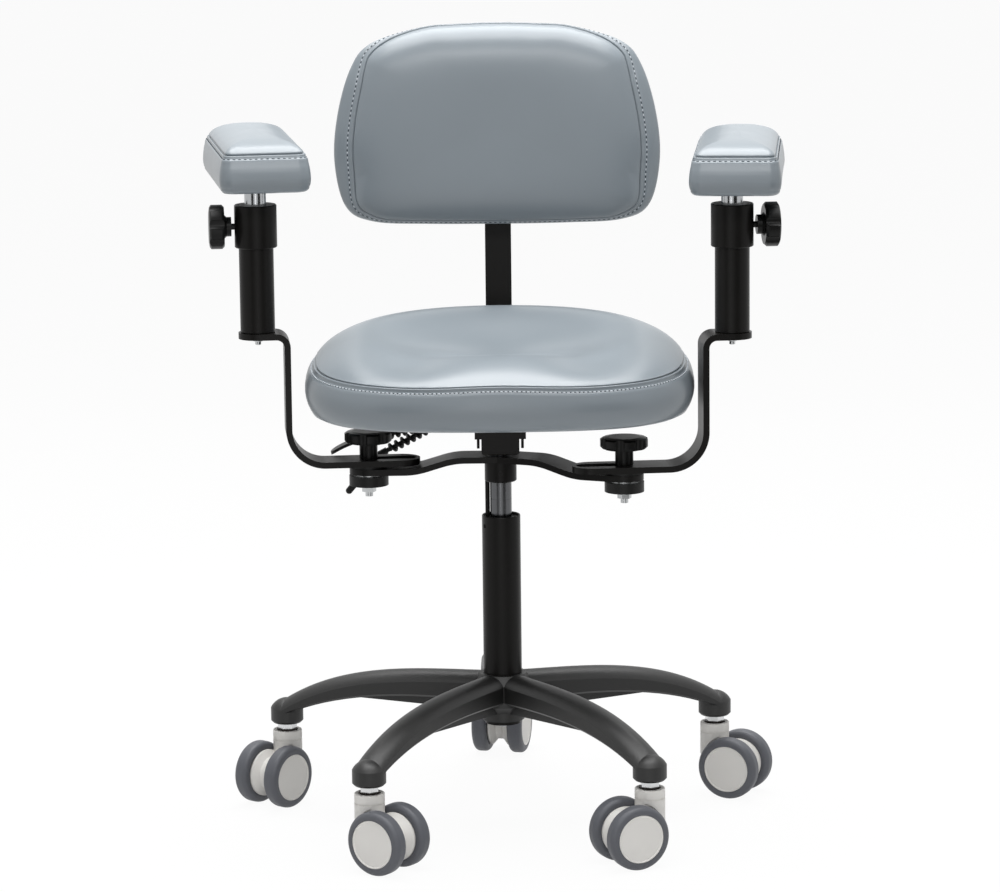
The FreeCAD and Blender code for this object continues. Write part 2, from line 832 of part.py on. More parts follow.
node(turned("piston_rod", [
    ("0", "tube_low - rod_tip_length"),
    ("rod_tip_diameter / 2", "tube_low - rod_tip_length"),
    ("rod_tip_diameter / 2", "bearing_top"),
    ("rod_diameter / 2", "bearing_top"),
    ("rod_diameter / 2", "piston_top - piston_height"),
    ("cylinder_diameter / 2 - cylinder_wall - pin_gap", "piston_top - piston_height"),
    ("cylinder_diameter / 2 - cylinder_wall - pin_gap", "piston_top"),
    ("0", "piston_top"),
]), "piston_rod")


def bearing_ring(label, inner, outer, low, high):
    """Plain ring of the thrust bearing."""
    return turned(label, [(inner, low), (outer, low), (outer, high), (inner, high)])


bearing_inner = "rod_tip_diameter / 2 + pin_gap"
ball_low = "floor_top + bearing_race"
ball_high = "floor_top + bearing_race + bearing_ball"
group("thrust_bearing", [
    bearing_ring("lower_race", bearing_inner, "bearing_diameter / 2", "floor_top", ball_low),
    bearing_ring("ball_cage", f"{bearing_inner} + bearing_race",
                 "bearing_diameter / 2 - pin_gap", ball_low, ball_high),
    bearing_ring("upper_race", bearing_inner, "bearing_diameter / 2", ball_high, "bearing_top"),
])

clip = new_body("column_clip")
clip_sketch = sketch_on(clip, "XY_Plane", ("0", "0", "tube_low - running_gap - clip_thick"))
circle(clip_sketch, "clip_diameter")
circle(clip_sketch, "rod_tip_diameter + 2 * pin_gap")
pad(clip, clip_sketch, "clip_thick")
clip_mouth = sketch_on(clip, "XY_Plane", ("0", "0", "tube_low - running_gap - clip_thick"))
rectangle(clip_mouth, "0", "clip_diameter", "-rod_tip_diameter / 4", "rod_tip_diameter / 4")
pocket(clip, clip_mouth, "clip_thick", reverse=True)
node(clip, "column_clip")

bush = new_body("guide_bush")
bush_sketch = sketch_on(bush, "XY_Plane", ("0", "0", "bush_low"))
circle(bush_sketch, "tube_bore - 2 * pin_gap")
circle(bush_sketch, "cylinder_diameter + 2 * pin_gap")
pad(bush, bush_sketch, "bush_height")
bush_hole = sketch_on(bush, "XY_Plane", ("0", "0", "bush_low"))
circle(bush_hole, "guide_rod_diameter + 2 * pin_gap", "-guide_rod_offset")
pocket(bush, bush_hole, "bush_height", reverse=True)
node(bush, "guide_bush")

line_level = "collar_low - cylinder_line_rise"
node(turned("gas_cylinder", [
    ("rod_diameter / 2 + pin_gap", "cylinder_low"),
    ("cylinder_diameter / 2 - cylinder_wall / 2", "cylinder_low"),
    ("cylinder_diameter / 2", "cylinder_low + cylinder_wall / 2"),
    ("cylinder_diameter / 2", f"{line_level} - cylinder_line_depth"),
    ("cylinder_diameter / 2 - cylinder_line_depth", f"{line_level} - cylinder_line_depth"),
    ("cylinder_diameter / 2 - cylinder_line_depth", f"{line_level} + cylinder_line_depth"),
    ("cylinder_diameter / 2", f"{line_level} + cylinder_line_depth"),
    ("cylinder_diameter / 2", "cylinder_top - cylinder_wall"),
    ("cylinder_diameter / 2 - cylinder_wall / 2", "cylinder_top"),
    ("button_diameter / 2", "cylinder_top"),
    ("button_diameter / 2", "cylinder_top + button_height"),
    ("0", "cylinder_top + button_height"),
    ("0", "cylinder_top - cylinder_head"),
    ("cylinder_diameter / 2 - cylinder_wall", "cylinder_top - cylinder_head"),
    ("cylinder_diameter / 2 - cylinder_wall", "cylinder_low + cylinder_end_wall"),
    ("rod_diameter / 2 + pin_gap", "cylinder_low + cylinder_end_wall"),
]), "gas_cylinder")

guide_rod = doc.addObject("Part::Cylinder", "guide_rod")
guide_rod.setExpression("Radius", bound("guide_rod_diameter / 2"))
guide_rod.setExpression("Height", bound("guide_rod_reach_down + cylinder_show + guide_rod_grip"))
place(guide_rod, "-guide_rod_offset", "0", "tube_top - guide_rod_reach_down")
node(guide_rod, "guide_rod")


# Armrest carrier and its pivots

def carrier_half(label, heading):
    """Half of the carrier bar: level at the column, eased down and level again at the pivot."""
    body = new_body(label)
    side = sketch_on(body, "XZ_Plane")
    foot = "carrier_flat + carrier_bend"
    polygon(side, [
        ("0", "carrier_low"),
        ("carrier_flat", "carrier_low"),
        (foot, "carrier_end_low"),
        ("carrier_reach + bar_width / 2", "carrier_end_low"),
        ("carrier_reach + bar_width / 2", "carrier_end_top"),
        (foot, "carrier_end_top"),
        ("carrier_flat", "carrier_top"),
        ("0", "carrier_top"),
    ])
    pad(body, side, "bar_width", "Symmetric")
    flat = value("carrier_flat")
    bends = (flat, flat + value("carrier_bend"))

    def is_bend(edge):
        middle = edge.CenterOfMass
        return near(middle.y, 0) and any(near(middle.x, bend) for bend in bends)

    round_edges(body, "carrier_bend_radius", is_bend)
    end = value("carrier_reach") + value("bar_width") / 2

    def is_end_corner(edge):
        middle = edge.CenterOfMass
        return near(middle.x, end) and near(abs(middle.y), value("bar_width") / 2)

    round_edges(body, "bar_width / 2 - pin_gap", is_end_corner)
    hole = sketch_on(body, "XY_Plane", ("0", "0", "carrier_end_low"))
    circle(hole, "pivot_bolt_diameter + 2 * pin_gap", "carrier_reach")
    pocket(body, hole, "bar_thick", reverse=True)
    place(body, turn=heading)
    return body


collar = turned("carrier_collar", [
    ("0", "collar_low"),
    ("collar_diameter / 2 - tube_lip", "collar_low"),
    ("collar_diameter / 2", "collar_low + tube_lip"),
    ("collar_diameter / 2", "carrier_low"),
    ("bar_width / 2", "carrier_low"),
    ("bar_width / 2", "carrier_top"),
    ("0", "carrier_top"),
])
carrier_bars = doc.addObject("Part::MultiFuse", "carrier_bars")
carrier_bars.Shapes = [
    carrier_half("carrier_right", "carrier_heading"),
    carrier_half("carrier_left", "carrier_heading + carrier_spread"),
    collar,
]


def bore_tool(label, diameter, length, x="0", y="0", z="0", turn="0", axis=(0, 0, 1)):
    """Round tool for a bore, its place bound to formulas."""
    tool = doc.addObject("Part::Cylinder", label)
    tool.setExpression("Radius", bound(f"({diameter}) / 2"))
    tool.setExpression("Height", bound(length))
    place(tool, x, y, z, turn, axis)
    return tool


carrier_bores = doc.addObject("Part::MultiFuse", "carrier_bores")
carrier_bores.Shapes = [
    bore_tool("column_bore", "cylinder_diameter + 2 * pin_gap",
              "collar_height + 2 * bar_thick", z="collar_low"),
    bore_tool("rod_bore", "guide_rod_diameter + 2 * pin_gap", "guide_rod_grip + running_gap",
              "-guide_rod_offset", z="collar_low"),
    bore_tool("screw_bore", "collar_screw_diameter + 2 * pin_gap", "collar_diameter",
              z="carrier_low - collar_screw_drop", turn="90", axis=(1, 0, 0)),
]
carrier = doc.addObject("Part::Cut", "arm_carrier")
carrier.Base = carrier_bars
carrier.Tool = carrier_bores
carrier.Refine = True
node(carrier, "arm_carrier")

SIDES = ("right", "left")


def at_pivot(piece, side, z="0", turn="0"):
    """Stand a piece on the pivot of one armrest."""
    place(piece, f"pivot_{side}_x", f"pivot_{side}_y", z, turn)


def ring(label, diameter, bore, thick):
    """Flat ring standing on its own XY plane."""
    body = new_body(label)
    sketch = sketch_on(body, "XY_Plane")
    circle(sketch, diameter)
    circle(sketch, bore)
    pad(body, sketch, thick)
    return body


def hexagon(sketch, width):
    """Hexagon outline by its width across flats."""
    polygon(sketch, [
        (f"{width} / 2 / cos(30) * cos({corner})", f"{width} / 2 / cos(30) * sin({corner})")
        for corner in range(10, 370, 60)
    ])


def flange_nut(label):
    """Hexagon nut on a round flange."""
    body = ring(label, "flange_nut_diameter", "pivot_bolt_diameter + 2 * pin_gap", "flange_nut_height / 3")
    hexagon_sketch = sketch_on(body, "XY_Plane")
    hexagon(hexagon_sketch, "flange_nut_width")
    circle(hexagon_sketch, "pivot_bolt_diameter + 2 * pin_gap")
    pad(body, hexagon_sketch, "flange_nut_height * 2 / 3", reverse=True)
    return body


pivot_discs, pivot_fasteners, friction_washers = [], [], []
bolt_bore = "pivot_bolt_diameter + 2 * pin_gap"
for side in SIDES:
    disc = ring("pivot_disc", "pivot_disc_diameter", bolt_bore, "pivot_disc_thick")
    at_pivot(disc, side, "disc_low")
    pivot_discs.append(disc)
    washer = ring("friction_washer", "friction_washer_diameter", bolt_bore, "friction_washer_thick")
    at_pivot(washer, side, "carrier_end_top")
    friction_washers.append(washer)
    plain = ring("plain_washer", "plain_washer_diameter", bolt_bore, "plain_washer_thick")
    at_pivot(plain, side, "disc_top")
    nut = flange_nut("flange_nut")
    at_pivot(nut, side, "disc_low - flange_nut_height / 3")
    bolt = turned("pivot_bolt", [
        ("0", "bolt_low"),
        ("pivot_bolt_diameter / 2 - pin_gap", "bolt_low"),
        ("pivot_bolt_diameter / 2 - pin_gap", "bolt_top"),
        ("0", "bolt_top"),
    ])
    at_pivot(bolt, side)
    pivot_fasteners += [plain, nut, bolt]
group("pivot_discs", pivot_discs)
group("friction_washers", friction_washers)
group("pivot_bolts", pivot_fasteners)


# Star knobs

def star_knob(label, diameter, thick, neck_diameter, neck, scallop, bore, bore_depth):
    """Knob with a rounded head, a ring of scallops, a neck and a bore, its neck standing on z = 0."""
    body = turned(label, [
        ("0", "0"),
        (f"{neck_diameter} / 2", "0"),
        (f"{neck_diameter} / 2", f"{neck} - knob_edge"),
        (f"{neck_diameter} / 2 + knob_edge", neck),
        (f"{diameter} / 2 - knob_edge", neck),
        (f"{diameter} / 2", f"{neck} + knob_edge"),
        (f"{diameter} / 2", f"{neck} + {thick} - knob_edge"),
        (f"{diameter} / 2 - knob_edge", f"{neck} + {thick} - knob_edge / 3"),
        (f"{diameter} / 3", f"{neck} + {thick}"),
        ("0", f"{neck} + {thick}"),
    ])
    sketch = sketch_on(body, "XY_Plane", ("0", "0", neck))
    circle(sketch, scallop, f"{diameter} / 2 + {scallop} / 4")
    cut = pocket(body, sketch, f"2 * {thick}", reverse=True)
    repeat_round(body, [cut], 7)
    hole = sketch_on(body, "XY_Plane")
    circle(hole, bore)
    pocket(body, hole, bore_depth, reverse=True)
    return body


for side in SIDES:
    knob = star_knob(side + "_pivot_knob", "pivot_knob_diameter", "pivot_knob_thick",
                     "pivot_knob_stem_diameter",
                     "pivot_knob_stem", "pivot_knob_scallop", bolt_bore, "bolt_grip + running_gap")
    at_pivot(knob, side, "pivot_knob_low")
    node(knob, side + "_pivot_knob")


# Armrest arms and posts

def slot_bush(side):
    """Bush that turns on the pivot bolt and slides in the arm's slot."""
    body = ring(side + "_slot_bush", "slot_width - 2 * pin_gap", bolt_bore, "bar_thick")
    at_pivot(body, side, "washer_top + pin_gap")
    return node(body, side + "_slot_bush")


def arm_bar(side):
    """Flat bar with a slotted tail, bent up to an upright and out again to the tab under the post."""
    body = new_body(side + "_arm_bar")
    profile = sketch_on(body, "XZ_Plane")
    near_face = "arm_upright - bar_thick / 2"
    far_face = "arm_upright + bar_thick / 2"
    tab_end = "post_offset + bar_width / 2"
    polygon(profile, [
        ("-arm_tail", "0"),
        (far_face, "0"),
        (far_face, "arm_rise - bar_thick"),
        (tab_end, "arm_rise - bar_thick"),
        (tab_end, "arm_rise"),
        (near_face, "arm_rise"),
        (near_face, "bar_thick"),
        ("-arm_tail", "bar_thick"),
    ])
    pad(body, profile, "bar_width", "Symmetric")
    thick, rise = value("bar_thick"), value("arm_rise")
    inside = value("arm_upright") - thick / 2
    outside = value("arm_upright") + thick / 2

    def bend_at(x, z):
        return lambda edge: near(edge.CenterOfMass.x, x) and near(edge.CenterOfMass.z, z)

    round_edges(body, "arm_low_bend + bar_thick / 2", bend_at(outside, 0))
    round_edges(body, "arm_low_bend - bar_thick / 2", bend_at(inside, thick))
    round_edges(body, "arm_high_bend + bar_thick / 2", bend_at(inside, rise))
    round_edges(body, "arm_high_bend - bar_thick / 2", bend_at(outside, rise - thick))
    ends = (-value("arm_tail"), value("post_offset") + value("bar_width") / 2)

    def is_end_corner(edge):
        middle = edge.CenterOfMass
        return any(near(middle.x, end) for end in ends) and near(abs(middle.y), value("bar_width") / 2)

    round_edges(body, "bar_width / 2 - pin_gap", is_end_corner)
    slot = sketch_on(body, "XY_Plane")
    rectangle(slot, "-slot_length", "0", "-slot_width / 2", "slot_width / 2")
    pocket(body, slot, "bar_thick", reverse=True)
    for end in ("0", "-slot_length"):
        slot_end = sketch_on(body, "XY_Plane")
        circle(slot_end, "slot_width", end)
        pocket(body, slot_end, "bar_thick", reverse=True)
    screw_hole = sketch_on(body, "XY_Plane", ("0", "0", "arm_rise"))
    circle(screw_hole, "post_screw_diameter + 2 * pin_gap", "post_offset")
    pocket(body, screw_hole, "bar_thick")
    at_pivot(body, side, "arm_low", f"arm_heading_{side}")
    return node(body, side + "_arm_bar")


def at_post(piece, side, z="0", turn="0"):
    """Stand a piece on the axis of one armrest post."""
    place(piece, f"post_{side}_x", f"post_{side}_y", z, turn)


def post_tube(side):
    """Post with a thicker sleeve at its top, bored for the rod and for the clamping stud."""
    body = turned(side + "_post_tube", [
        ("post_screw_diameter / 2 + pin_gap", "tab_top"),
        ("post_diameter / 2 - post_edge", "tab_top"),
        ("post_diameter / 2", "tab_top + post_edge"),
        ("post_diameter / 2", "post_top"),
        ("sleeve_diameter / 2 - post_edge", "post_top"),
        ("sleeve_diameter / 2", "post_top + post_edge"),
        ("sleeve_diameter / 2", "sleeve_top - post_edge"),
        ("sleeve_diameter / 2 - post_edge", "sleeve_top"),
        ("post_bore / 2", "sleeve_top"),
        ("post_bore / 2", "tab_top + post_floor"),
        ("post_screw_diameter / 2 + pin_gap", "tab_top + post_floor"),
    ])
    hole = sketch_on(body, "YZ_Plane")
    circle(hole, "post_knob_stud + 2 * pin_gap", "0", "post_knob_level")
    pocket(body, hole, "sleeve_diameter", reverse=True)
    at_post(body, side, turn=f"arm_heading_{side}")
    return node(body, side + "_post_tube")


def post_screw(side):
    """Screw that holds the post to the arm's tab from below."""
    body = turned(side + "_post_screw", [
        ("0", "tab_top - bar_thick - post_screw_head_height"),
        ("post_screw_head / 2 - post_edge", "tab_top - bar_thick - post_screw_head_height"),
        ("post_screw_head / 2", "tab_top - bar_thick - post_screw_head_height + post_edge"),
        ("post_screw_head / 2", "tab_top - bar_thick"),
        ("post_screw_diameter / 2", "tab_top - bar_thick"),
        ("post_screw_diameter / 2", "tab_top + post_screw_grip"),
        ("0", "tab_top + post_screw_grip"),
    ])
    at_post(body, side)
    return node(body, side + "_post_screw")


def post_rod(side):
    """Steel rod that rises out of the post, with a spigot for the pad."""
    rod_top = f"pad_{side}_low"
    body = turned(side + "_post_rod", [
        ("0", "sleeve_top - post_rod_depth"),
        ("post_bore / 2 - pin_gap - post_edge", "sleeve_top - post_rod_depth"),
        ("post_bore / 2 - pin_gap", "sleeve_top - post_rod_depth + post_edge"),
        ("post_bore / 2 - pin_gap", f"{rod_top} - post_edge"),
        ("post_bore / 2 - pin_gap - post_edge", f"{rod_top} - pin_gap"),
        ("pad_spigot / 2", f"{rod_top} - pin_gap"),
        ("pad_spigot / 2", f"{rod_top} + pad_plate_thick - pin_gap"),
        ("0", f"{rod_top} + pad_plate_thick - pin_gap"),
    ])
    at_post(body, side)
    return node(body, side + "_post_rod")


def post_knob(side):
    """Star knob whose stud clamps the rod through the sleeve, pointing out along the arm."""
    knob = star_knob(side + "_knob_head", "post_knob_diameter", "post_knob_thick", "post_knob_neck_diameter",
                     "post_knob_neck", "post_knob_scallop", "post_knob_stud - 2 * knob_edge", "knob_edge")
    stud = sketch_on(knob, "XY_Plane")
    circle(stud, "post_knob_stud")
    pad(knob, stud, "post_knob_gap + sleeve_diameter / 2 - post_bore / 2 - pin_gap", reverse=True)
    place(knob, f"post_{side}_x + (sleeve_diameter / 2 + post_knob_gap) * cos(arm_heading_{side})",
          f"post_{side}_y + (sleeve_diameter / 2 + post_knob_gap) * sin(arm_heading_{side})",
          "post_knob_level")
    heading = value("arm_heading_" + side)
    knob.Placement = Placement(knob.Placement.Base, Rotation(heading, 90, 0))
    knob.setExpression("Placement.Rotation.Angle", None)
    return node(knob, side + "_post_knob")


for side in SIDES:
    slot_bush(side)
    arm_bar(side)
    post_tube(side)
    post_screw(side)
    post_rod(side)
    post_knob(side)


# Armrest pads

def rounded_box(half, front, rear, front_corner, rear_corner, height):
    """Level outline with straight sides and round corners."""
    edges = []
    turns = [(1, rear), (-1, rear), (-1, front), (1, front)]
    ends = []
    for way, edge in turns:
        inward = 1 if edge == front else -1
        corner = front_corner if edge == front else rear_corner
        cut = corner * (1 - math.sqrt(0.5))
        at_side = Vector(way * half, edge + inward * corner, height)
        at_end = Vector(way * (half - corner), edge, height)
        middle = Vector(way * (half - cut), edge + inward * cut, height)
        ends.append((at_side, middle, at_end) if way * inward < 0 else (at_end, middle, at_side))
    for step, points in enumerate(ends):
        edges.append(Part.Arc(*points).toShape())
        edges.append(Part.LineSegment(points[2], ends[(step + 1) % 4][0]).toShape())
    return Part.Wire(edges)


def pad_plate(side):
    """Steel plate let into the underside of the pad, turning on the rod's spigot."""
    body = new_body(side + "_pad_plate")
    sketch = sketch_on(body, "XY_Plane")
    middle = "(pad_behind - pad_ahead) / 2"
    rectangle(sketch, "pad_aside - pad_plate_width / 2", "pad_aside + pad_plate_width / 2",
              f"{middle} - pad_plate_length / 2", f"{middle} + pad_plate_length / 2")
    pad(body, sketch, "pad_plate_thick")
    hole = sketch_on(body, "XY_Plane")
    circle(hole, "pad_spigot + 2 * pin_gap")
    pocket(body, hole, "pad_plate_thick", reverse=True)
    at_post(body, side, f"pad_{side}_low", f"pad_turn_{side}")
    return node(body, side + "_pad_plate")


def pad_cushion(side):
    """Armrest pad with drawn-in sides and a crowned top, hollowed below for its plate."""
    half, front, rear = value("pad_width") / 2, -value("pad_ahead"), value("pad_behind")
    draw, seam, crown = value("pad_side_draw"), value("pad_seam_rise"), value("pad_crown")

    def outline(inset, height):
        corners = [max(value(f"pad_{end}_corner") - inset / 2, draw) for end in ("front", "rear")]
        return rounded_box(half - inset, front + inset, rear - inset, *corners, height)

    form = Part.makeLoft([
        outline(draw, 0),
        outline(draw / 4, seam / 6),
        outline(0, seam / 2),
        outline(draw / 4, seam * 5 / 6),
        outline(value("pad_roll"), seam),
        outline(value("pad_roll") * 2, seam + 0.75 * crown),
        outline(value("pad_crown_inset"), seam + crown),
    ], True)
    gap = value("soft_gap")
    wide = value("pad_plate_width") + 2 * gap
    long = value("pad_plate_length") + 2 * gap
    form.translate(Vector(value("pad_aside"), 0, 0))
    corner = Vector(value("pad_aside") - wide / 2, (front + rear - long) / 2, -gap)
    form = form.cut(Part.makeBox(wide, long, value("pad_plate_thick") + 2 * gap, corner))
    piece = free_form(side + "_pad_cushion", form)
    at_post(piece, side, f"pad_{side}_low", f"pad_turn_{side}")


for side in SIDES:
    pad_plate(side)
    pad_cushion(side)


# Seat mechanism

housing = new_body("tilt_housing")
box = sketch_on(housing, "XY_Plane", ("0", "0", "housing_low"))
rectangle(box, "-housing_width / 2", "housing_width / 2", "-housing_front", "housing_back")
pad(housing, box, "housing_depth")
housing_floor = value("housing_low")
round_edges(housing, "housing_round", lambda edge: near(edge.CenterOfMass.z, housing_floor))
flange = sketch_on(housing, "XY_Plane", ("0", "0", "flange_low"))
rectangle(flange, "-flange_width / 2", "flange_width / 2",
          "-housing_front - flange_lip", "housing_back + flange_lip")
pad(housing, flange, "flange_depth")
lug = sketch_on(housing, "YZ_Plane")
rectangle(lug, "housing_back", "back_pin_rear",
          "back_pin_level - back_lug_diameter / 2", "back_pin_level + back_lug_diameter / 2")
pad(housing, lug, "back_lug_width", "Symmetric")
lug_end = sketch_on(housing, "YZ_Plane")
circle(lug_end, "back_lug_diameter", "back_pin_rear", "back_pin_level")
pad(housing, lug_end, "back_lug_width", "Symmetric")
top_plate = sketch_on(housing, "XY_Plane", ("0", "0", "plate_low"))
rectangle(top_plate, "-plate_width / 2", "plate_width / 2", "-plate_front", "plate_back")
pad(housing, top_plate, "plate_thick")
pin_bore = sketch_on(housing, "YZ_Plane")
circle(pin_bore, "back_pin_diameter + 2 * pin_gap", "back_pin_rear", "back_pin_level")
pocket(housing, pin_bore, "2 * back_lug_width", "Symmetric")
socket = sketch_on(housing, "XY_Plane", ("0", "0", "housing_low"))
circle(socket, "cylinder_diameter + 2 * pin_gap")
pocket(housing, socket, "plate_low - housing_low - running_gap", reverse=True)
for lever in ("lift_lever", "tilt_lever"):
    slot = sketch_on(housing, "YZ_Plane", ("0", "0", "-flange_width / 2"))
    rectangle(slot, f"{lever}_back - lever_slot_width / 2", f"{lever}_back + lever_slot_width / 2",
              "flange_low + running_gap", "plate_low - running_gap")
    pocket(housing, slot, "lever_slot_depth", reverse=True)
    trunnion_bore = sketch_on(housing, "XZ_Plane", ("0", "0", f"-{lever}_back"))
    circle(trunnion_bore, "trunnion_diameter + 2 * pin_gap", "lever_hinge_x", "lever_level")
    pocket(housing, trunnion_bore, "trunnion_length + 2 * running_gap", "Symmetric")
BOLT_ROWS = ("-plate_front + seat_bolt_inset", "plate_back - seat_bolt_inset")
BOLT_CORNERS = [(x, y) for x in ("-", "") for y in BOLT_ROWS]
bolt_x = "(plate_width / 2 - seat_bolt_inset)"
bolt_holes = sketch_on(housing, "XY_Plane", ("0", "0", "plate_low"))
for x, y in BOLT_CORNERS:
    circle(bolt_holes, "seat_bolt_diameter + 2 * pin_gap", x + bolt_x, y)
pocket(housing, bolt_holes, "plate_thick", reverse=True)
screw_holes = sketch_on(housing, "XY_Plane", ("0", "0", "flange_low"))
for x in ("-", ""):
    circle(screw_holes, "hanging_screw_diameter + 2 * pin_gap",
           x + "hanging_screw_spread / 2", "-hanging_screw_front")
pocket(housing, screw_holes, "hanging_screw_length - hanging_screw_drop + running_gap", reverse=True)
node(housing, "tilt_housing")

screws = []
for x, y in BOLT_CORNERS:
    bolt = turned("seat_bolt", [
        ("0", "-seat_bolt_head_height"),
        ("seat_bolt_head / 2", "-seat_bolt_head_height"),
        ("seat_bolt_head / 2", "0"),
        ("seat_bolt_diameter / 2", "0"),
        ("seat_bolt_diameter / 2", "seat_bolt_length"),
        ("0", "seat_bolt_length"),
    ])
    place(bolt, x + bolt_x, y, "plate_low")
    screws.append(bolt)
for x in ("-", ""):
    screw = turned("hanging_screw", [
        ("0", "-hanging_screw_drop"),
        ("hanging_screw_diameter / 2", "-hanging_screw_drop"),
        ("hanging_screw_diameter / 2", "hanging_screw_length - hanging_screw_drop"),
        ("0", "hanging_screw_length - hanging_screw_drop"),
    ])
    place(screw, x + "hanging_screw_spread / 2", "-hanging_screw_front", "flange_low")
    screws.append(screw)
set_screw = bore_tool("set_screw", "collar_screw_diameter", "collar_diameter / 2 - cylinder_diameter / 2",
                      y="-cylinder_diameter / 2 - pin_gap", z="carrier_low - collar_screw_drop",
                      turn="90", axis=(1, 0, 0))
screws.append(set_screw)
group("frame_screws", screws)


# Levers with coil springs

def bent_rod(points, diameter):
    """Round rod through points, with a ball at each bend."""
    radius = diameter / 2
    runs = []
    for first, second in zip(points, points[1:]):
        runs.append(Part.makeCylinder(radius, (second - first).Length, first, second - first))
    balls = [Part.makeSphere(radius, point) for point in points[1:-1]]
    return runs[0].fuse(runs[1:] + balls) if len(points) > 2 else runs[0]


def lever_axis(lever):
    """Hinge point of a lever, the elbow where it turns down and the way that it points from there."""
    hinge = Vector(value("lever_hinge_x"), value(lever + "_back"), value("lever_level"))
    elbow = hinge - Vector(value(lever + "_root"), 0, 0)
    slope = math.radians(value(lever + "_slope"))
    return hinge, elbow, Vector(-math.cos(slope), 0, -math.sin(slope))


def lever_rod(lever, spring_start):
    """Hinged root with trunnions, thin core under the spring and thicker rod beyond it."""
    hinge, elbow, way = lever_axis(lever)
    half_pin = value("trunnion_length") / 2
    pin_foot = hinge - Vector(0, half_pin, 0)
    pin = Part.makeCylinder(value("trunnion_diameter") / 2, 2 * half_pin, pin_foot, Vector(0, 1, 0))
    gap = value("running_gap") + value("spring_wire")
    core_start = elbow + way * spring_start
    core_end = core_start + way * (value("spring_length") + 2 * gap)
    end = elbow + way * value(lever + "_length")
    thick, core = value("lever_rod_diameter"), value("lever_core_diameter")
    cheek = Part.makeSphere(thick / 2, hinge)
    root = bent_rod([hinge, elbow, core_start], thick)
    return [pin, cheek, root, bent_rod([core_start, core_end], core), bent_rod([core_end, end], thick)], end


def arc_between(start, heading, end):
    """Arc from start to end that leaves start along heading."""
    chord = end - start
    along = Vector(chord).normalize()
    aside = heading - along * heading.dot(along)
    lean = math.atan2(aside.Length, heading.dot(along))
    middle = start + chord * 0.5 + aside.normalize() * (chord.Length / 2 * math.tan(lean / 2))
    return Part.Arc(start, middle, end).toShape()


def biarc(start, heading, end, arrival):
    """Two tangent arcs from start to end with given headings at both."""
    chord = end - start
    both = heading + arrival
    spread = 2 * (1 - heading.dot(arrival))
    reach = (-chord.dot(both) + math.sqrt(chord.dot(both) ** 2 + spread * chord.dot(chord))) / spread
    joint = (start + end + (heading - arrival) * reach) * 0.5
    return [arc_between(start, heading, joint), arc_between(end, arrival * -1, joint)]


QUARTERS = 4


def coil_spring(label, lever, spring_start):
    """Coil round a lever's core: quarter turns as biarcs, with straight ends one wire thick long."""
    hinge, elbow, way = lever_axis(lever)
    side = Vector(0, 1, 0)
    up = way.cross(side)
    radius, pitch, wire = value("spring_radius"), value("spring_pitch"), value("spring_wire")
    first = elbow + way * (spring_start + value("running_gap") + wire)
    turns = int(value("spring_turns"))

    def spot(turn):
        angle = 2 * math.pi * turn
        out = side * math.cos(angle) + up * math.sin(angle)
        return first + way * (pitch * turn) + out * radius

    def heading(turn):
        angle = 2 * math.pi * turn
        around = side * -math.sin(angle) + up * math.cos(angle)
        return (around * (2 * math.pi * radius) + way * pitch).normalize()

    path = []
    start_end = spot(0) - heading(0) * wire
    path.append(Part.LineSegment(start_end, spot(0)).toShape())
    for step in range(turns * QUARTERS):
        here, there = step / QUARTERS, (step + 1) / QUARTERS
        path += biarc(spot(here), heading(here), spot(there), heading(there))
    path.append(Part.LineSegment(spot(turns), spot(turns) + heading(turns) * wire).toShape())
    spine = Part.Wire(Part.__sortEdges__(path))
    section = Part.Wire(Part.Circle(start_end, heading(0), wire / 2).toShape())
    coil = spine.makePipeShell([section], True, False)
    samples = [spot(step / 24) for step in range(24 * turns)]
    least = min(
        (samples[one] - samples[other]).Length - wire
        for one in range(len(samples))
        for other in range(one + 12, len(samples))
    )
    print(f"{label}: {turns} turns, least gap to itself {least:.2f} mm")
    return free_form(label, coil)


def lift_lever():
    """Height lever with a curled paddle at its end."""
    pieces, end = lever_rod("lift_lever", value("lift_spring_start"))
    hinge, elbow, way = lever_axis("lift_lever")
    up = Vector(way.z, 0, -way.x)
    long, thick, curl = value("paddle_length"), value("paddle_thick"), value("paddle_curl")
    half = value("paddle_width") / 2
    start = end - way * thick - Vector(0, half, 0)
    tip = start + way * long - up * curl
    crest = start + way * (long / 2) - up * (curl / 4)
    rise = up * thick
    top = Part.Arc(start + rise, crest + rise, tip + rise).toShape()
    low = Part.Arc(tip, crest, start).toShape()
    ends = [Part.LineSegment(tip + rise, tip).toShape(), Part.LineSegment(start, start + rise).toShape()]
    leaf = Part.Face(Part.Wire([top, ends[0], low, ends[1]])).extrude(Vector(0, 2 * half, 0))
    far = tip + rise * 0.5

    def is_tip_corner(edge):
        offset = edge.CenterOfMass - far - Vector(0, half, 0)
        return offset.Length > half * 0.9 and near(edge.Length, thick) and abs(offset.x) < thick

    leaf = leaf.makeFillet(half * 0.8, [edge for edge in leaf.Edges if is_tip_corner(edge)])
    return pieces[0].fuse(pieces[1:] + [leaf]).removeSplitter()


def tilt_lever():
    """Back-tilt lever, cranked down to a plain rod end."""
    pieces, end = lever_rod("tilt_lever", value("tilt_spring_start"))
    slope = math.radians(value("tilt_tip_slope"))
    tip = end + Vector(-math.cos(slope), 0, -math.sin(slope)) * value("tilt_tip_length")
    thick = value("lever_rod_diameter")
    crank = bent_rod([end, tip], thick)
    balls = [Part.makeSphere(thick / 2, end), Part.makeSphere(thick / 2, tip)]
    return pieces[0].fuse(pieces[1:] + [crank] + balls).removeSplitter()


free_form("lift_lever", lift_lever())
coil_spring("lift_lever_spring", "lift_lever", value("lift_spring_start"))
free_form("tilt_lever", tilt_lever())
coil_spring("tilt_lever_spring", "tilt_lever", value("tilt_spring_start"))


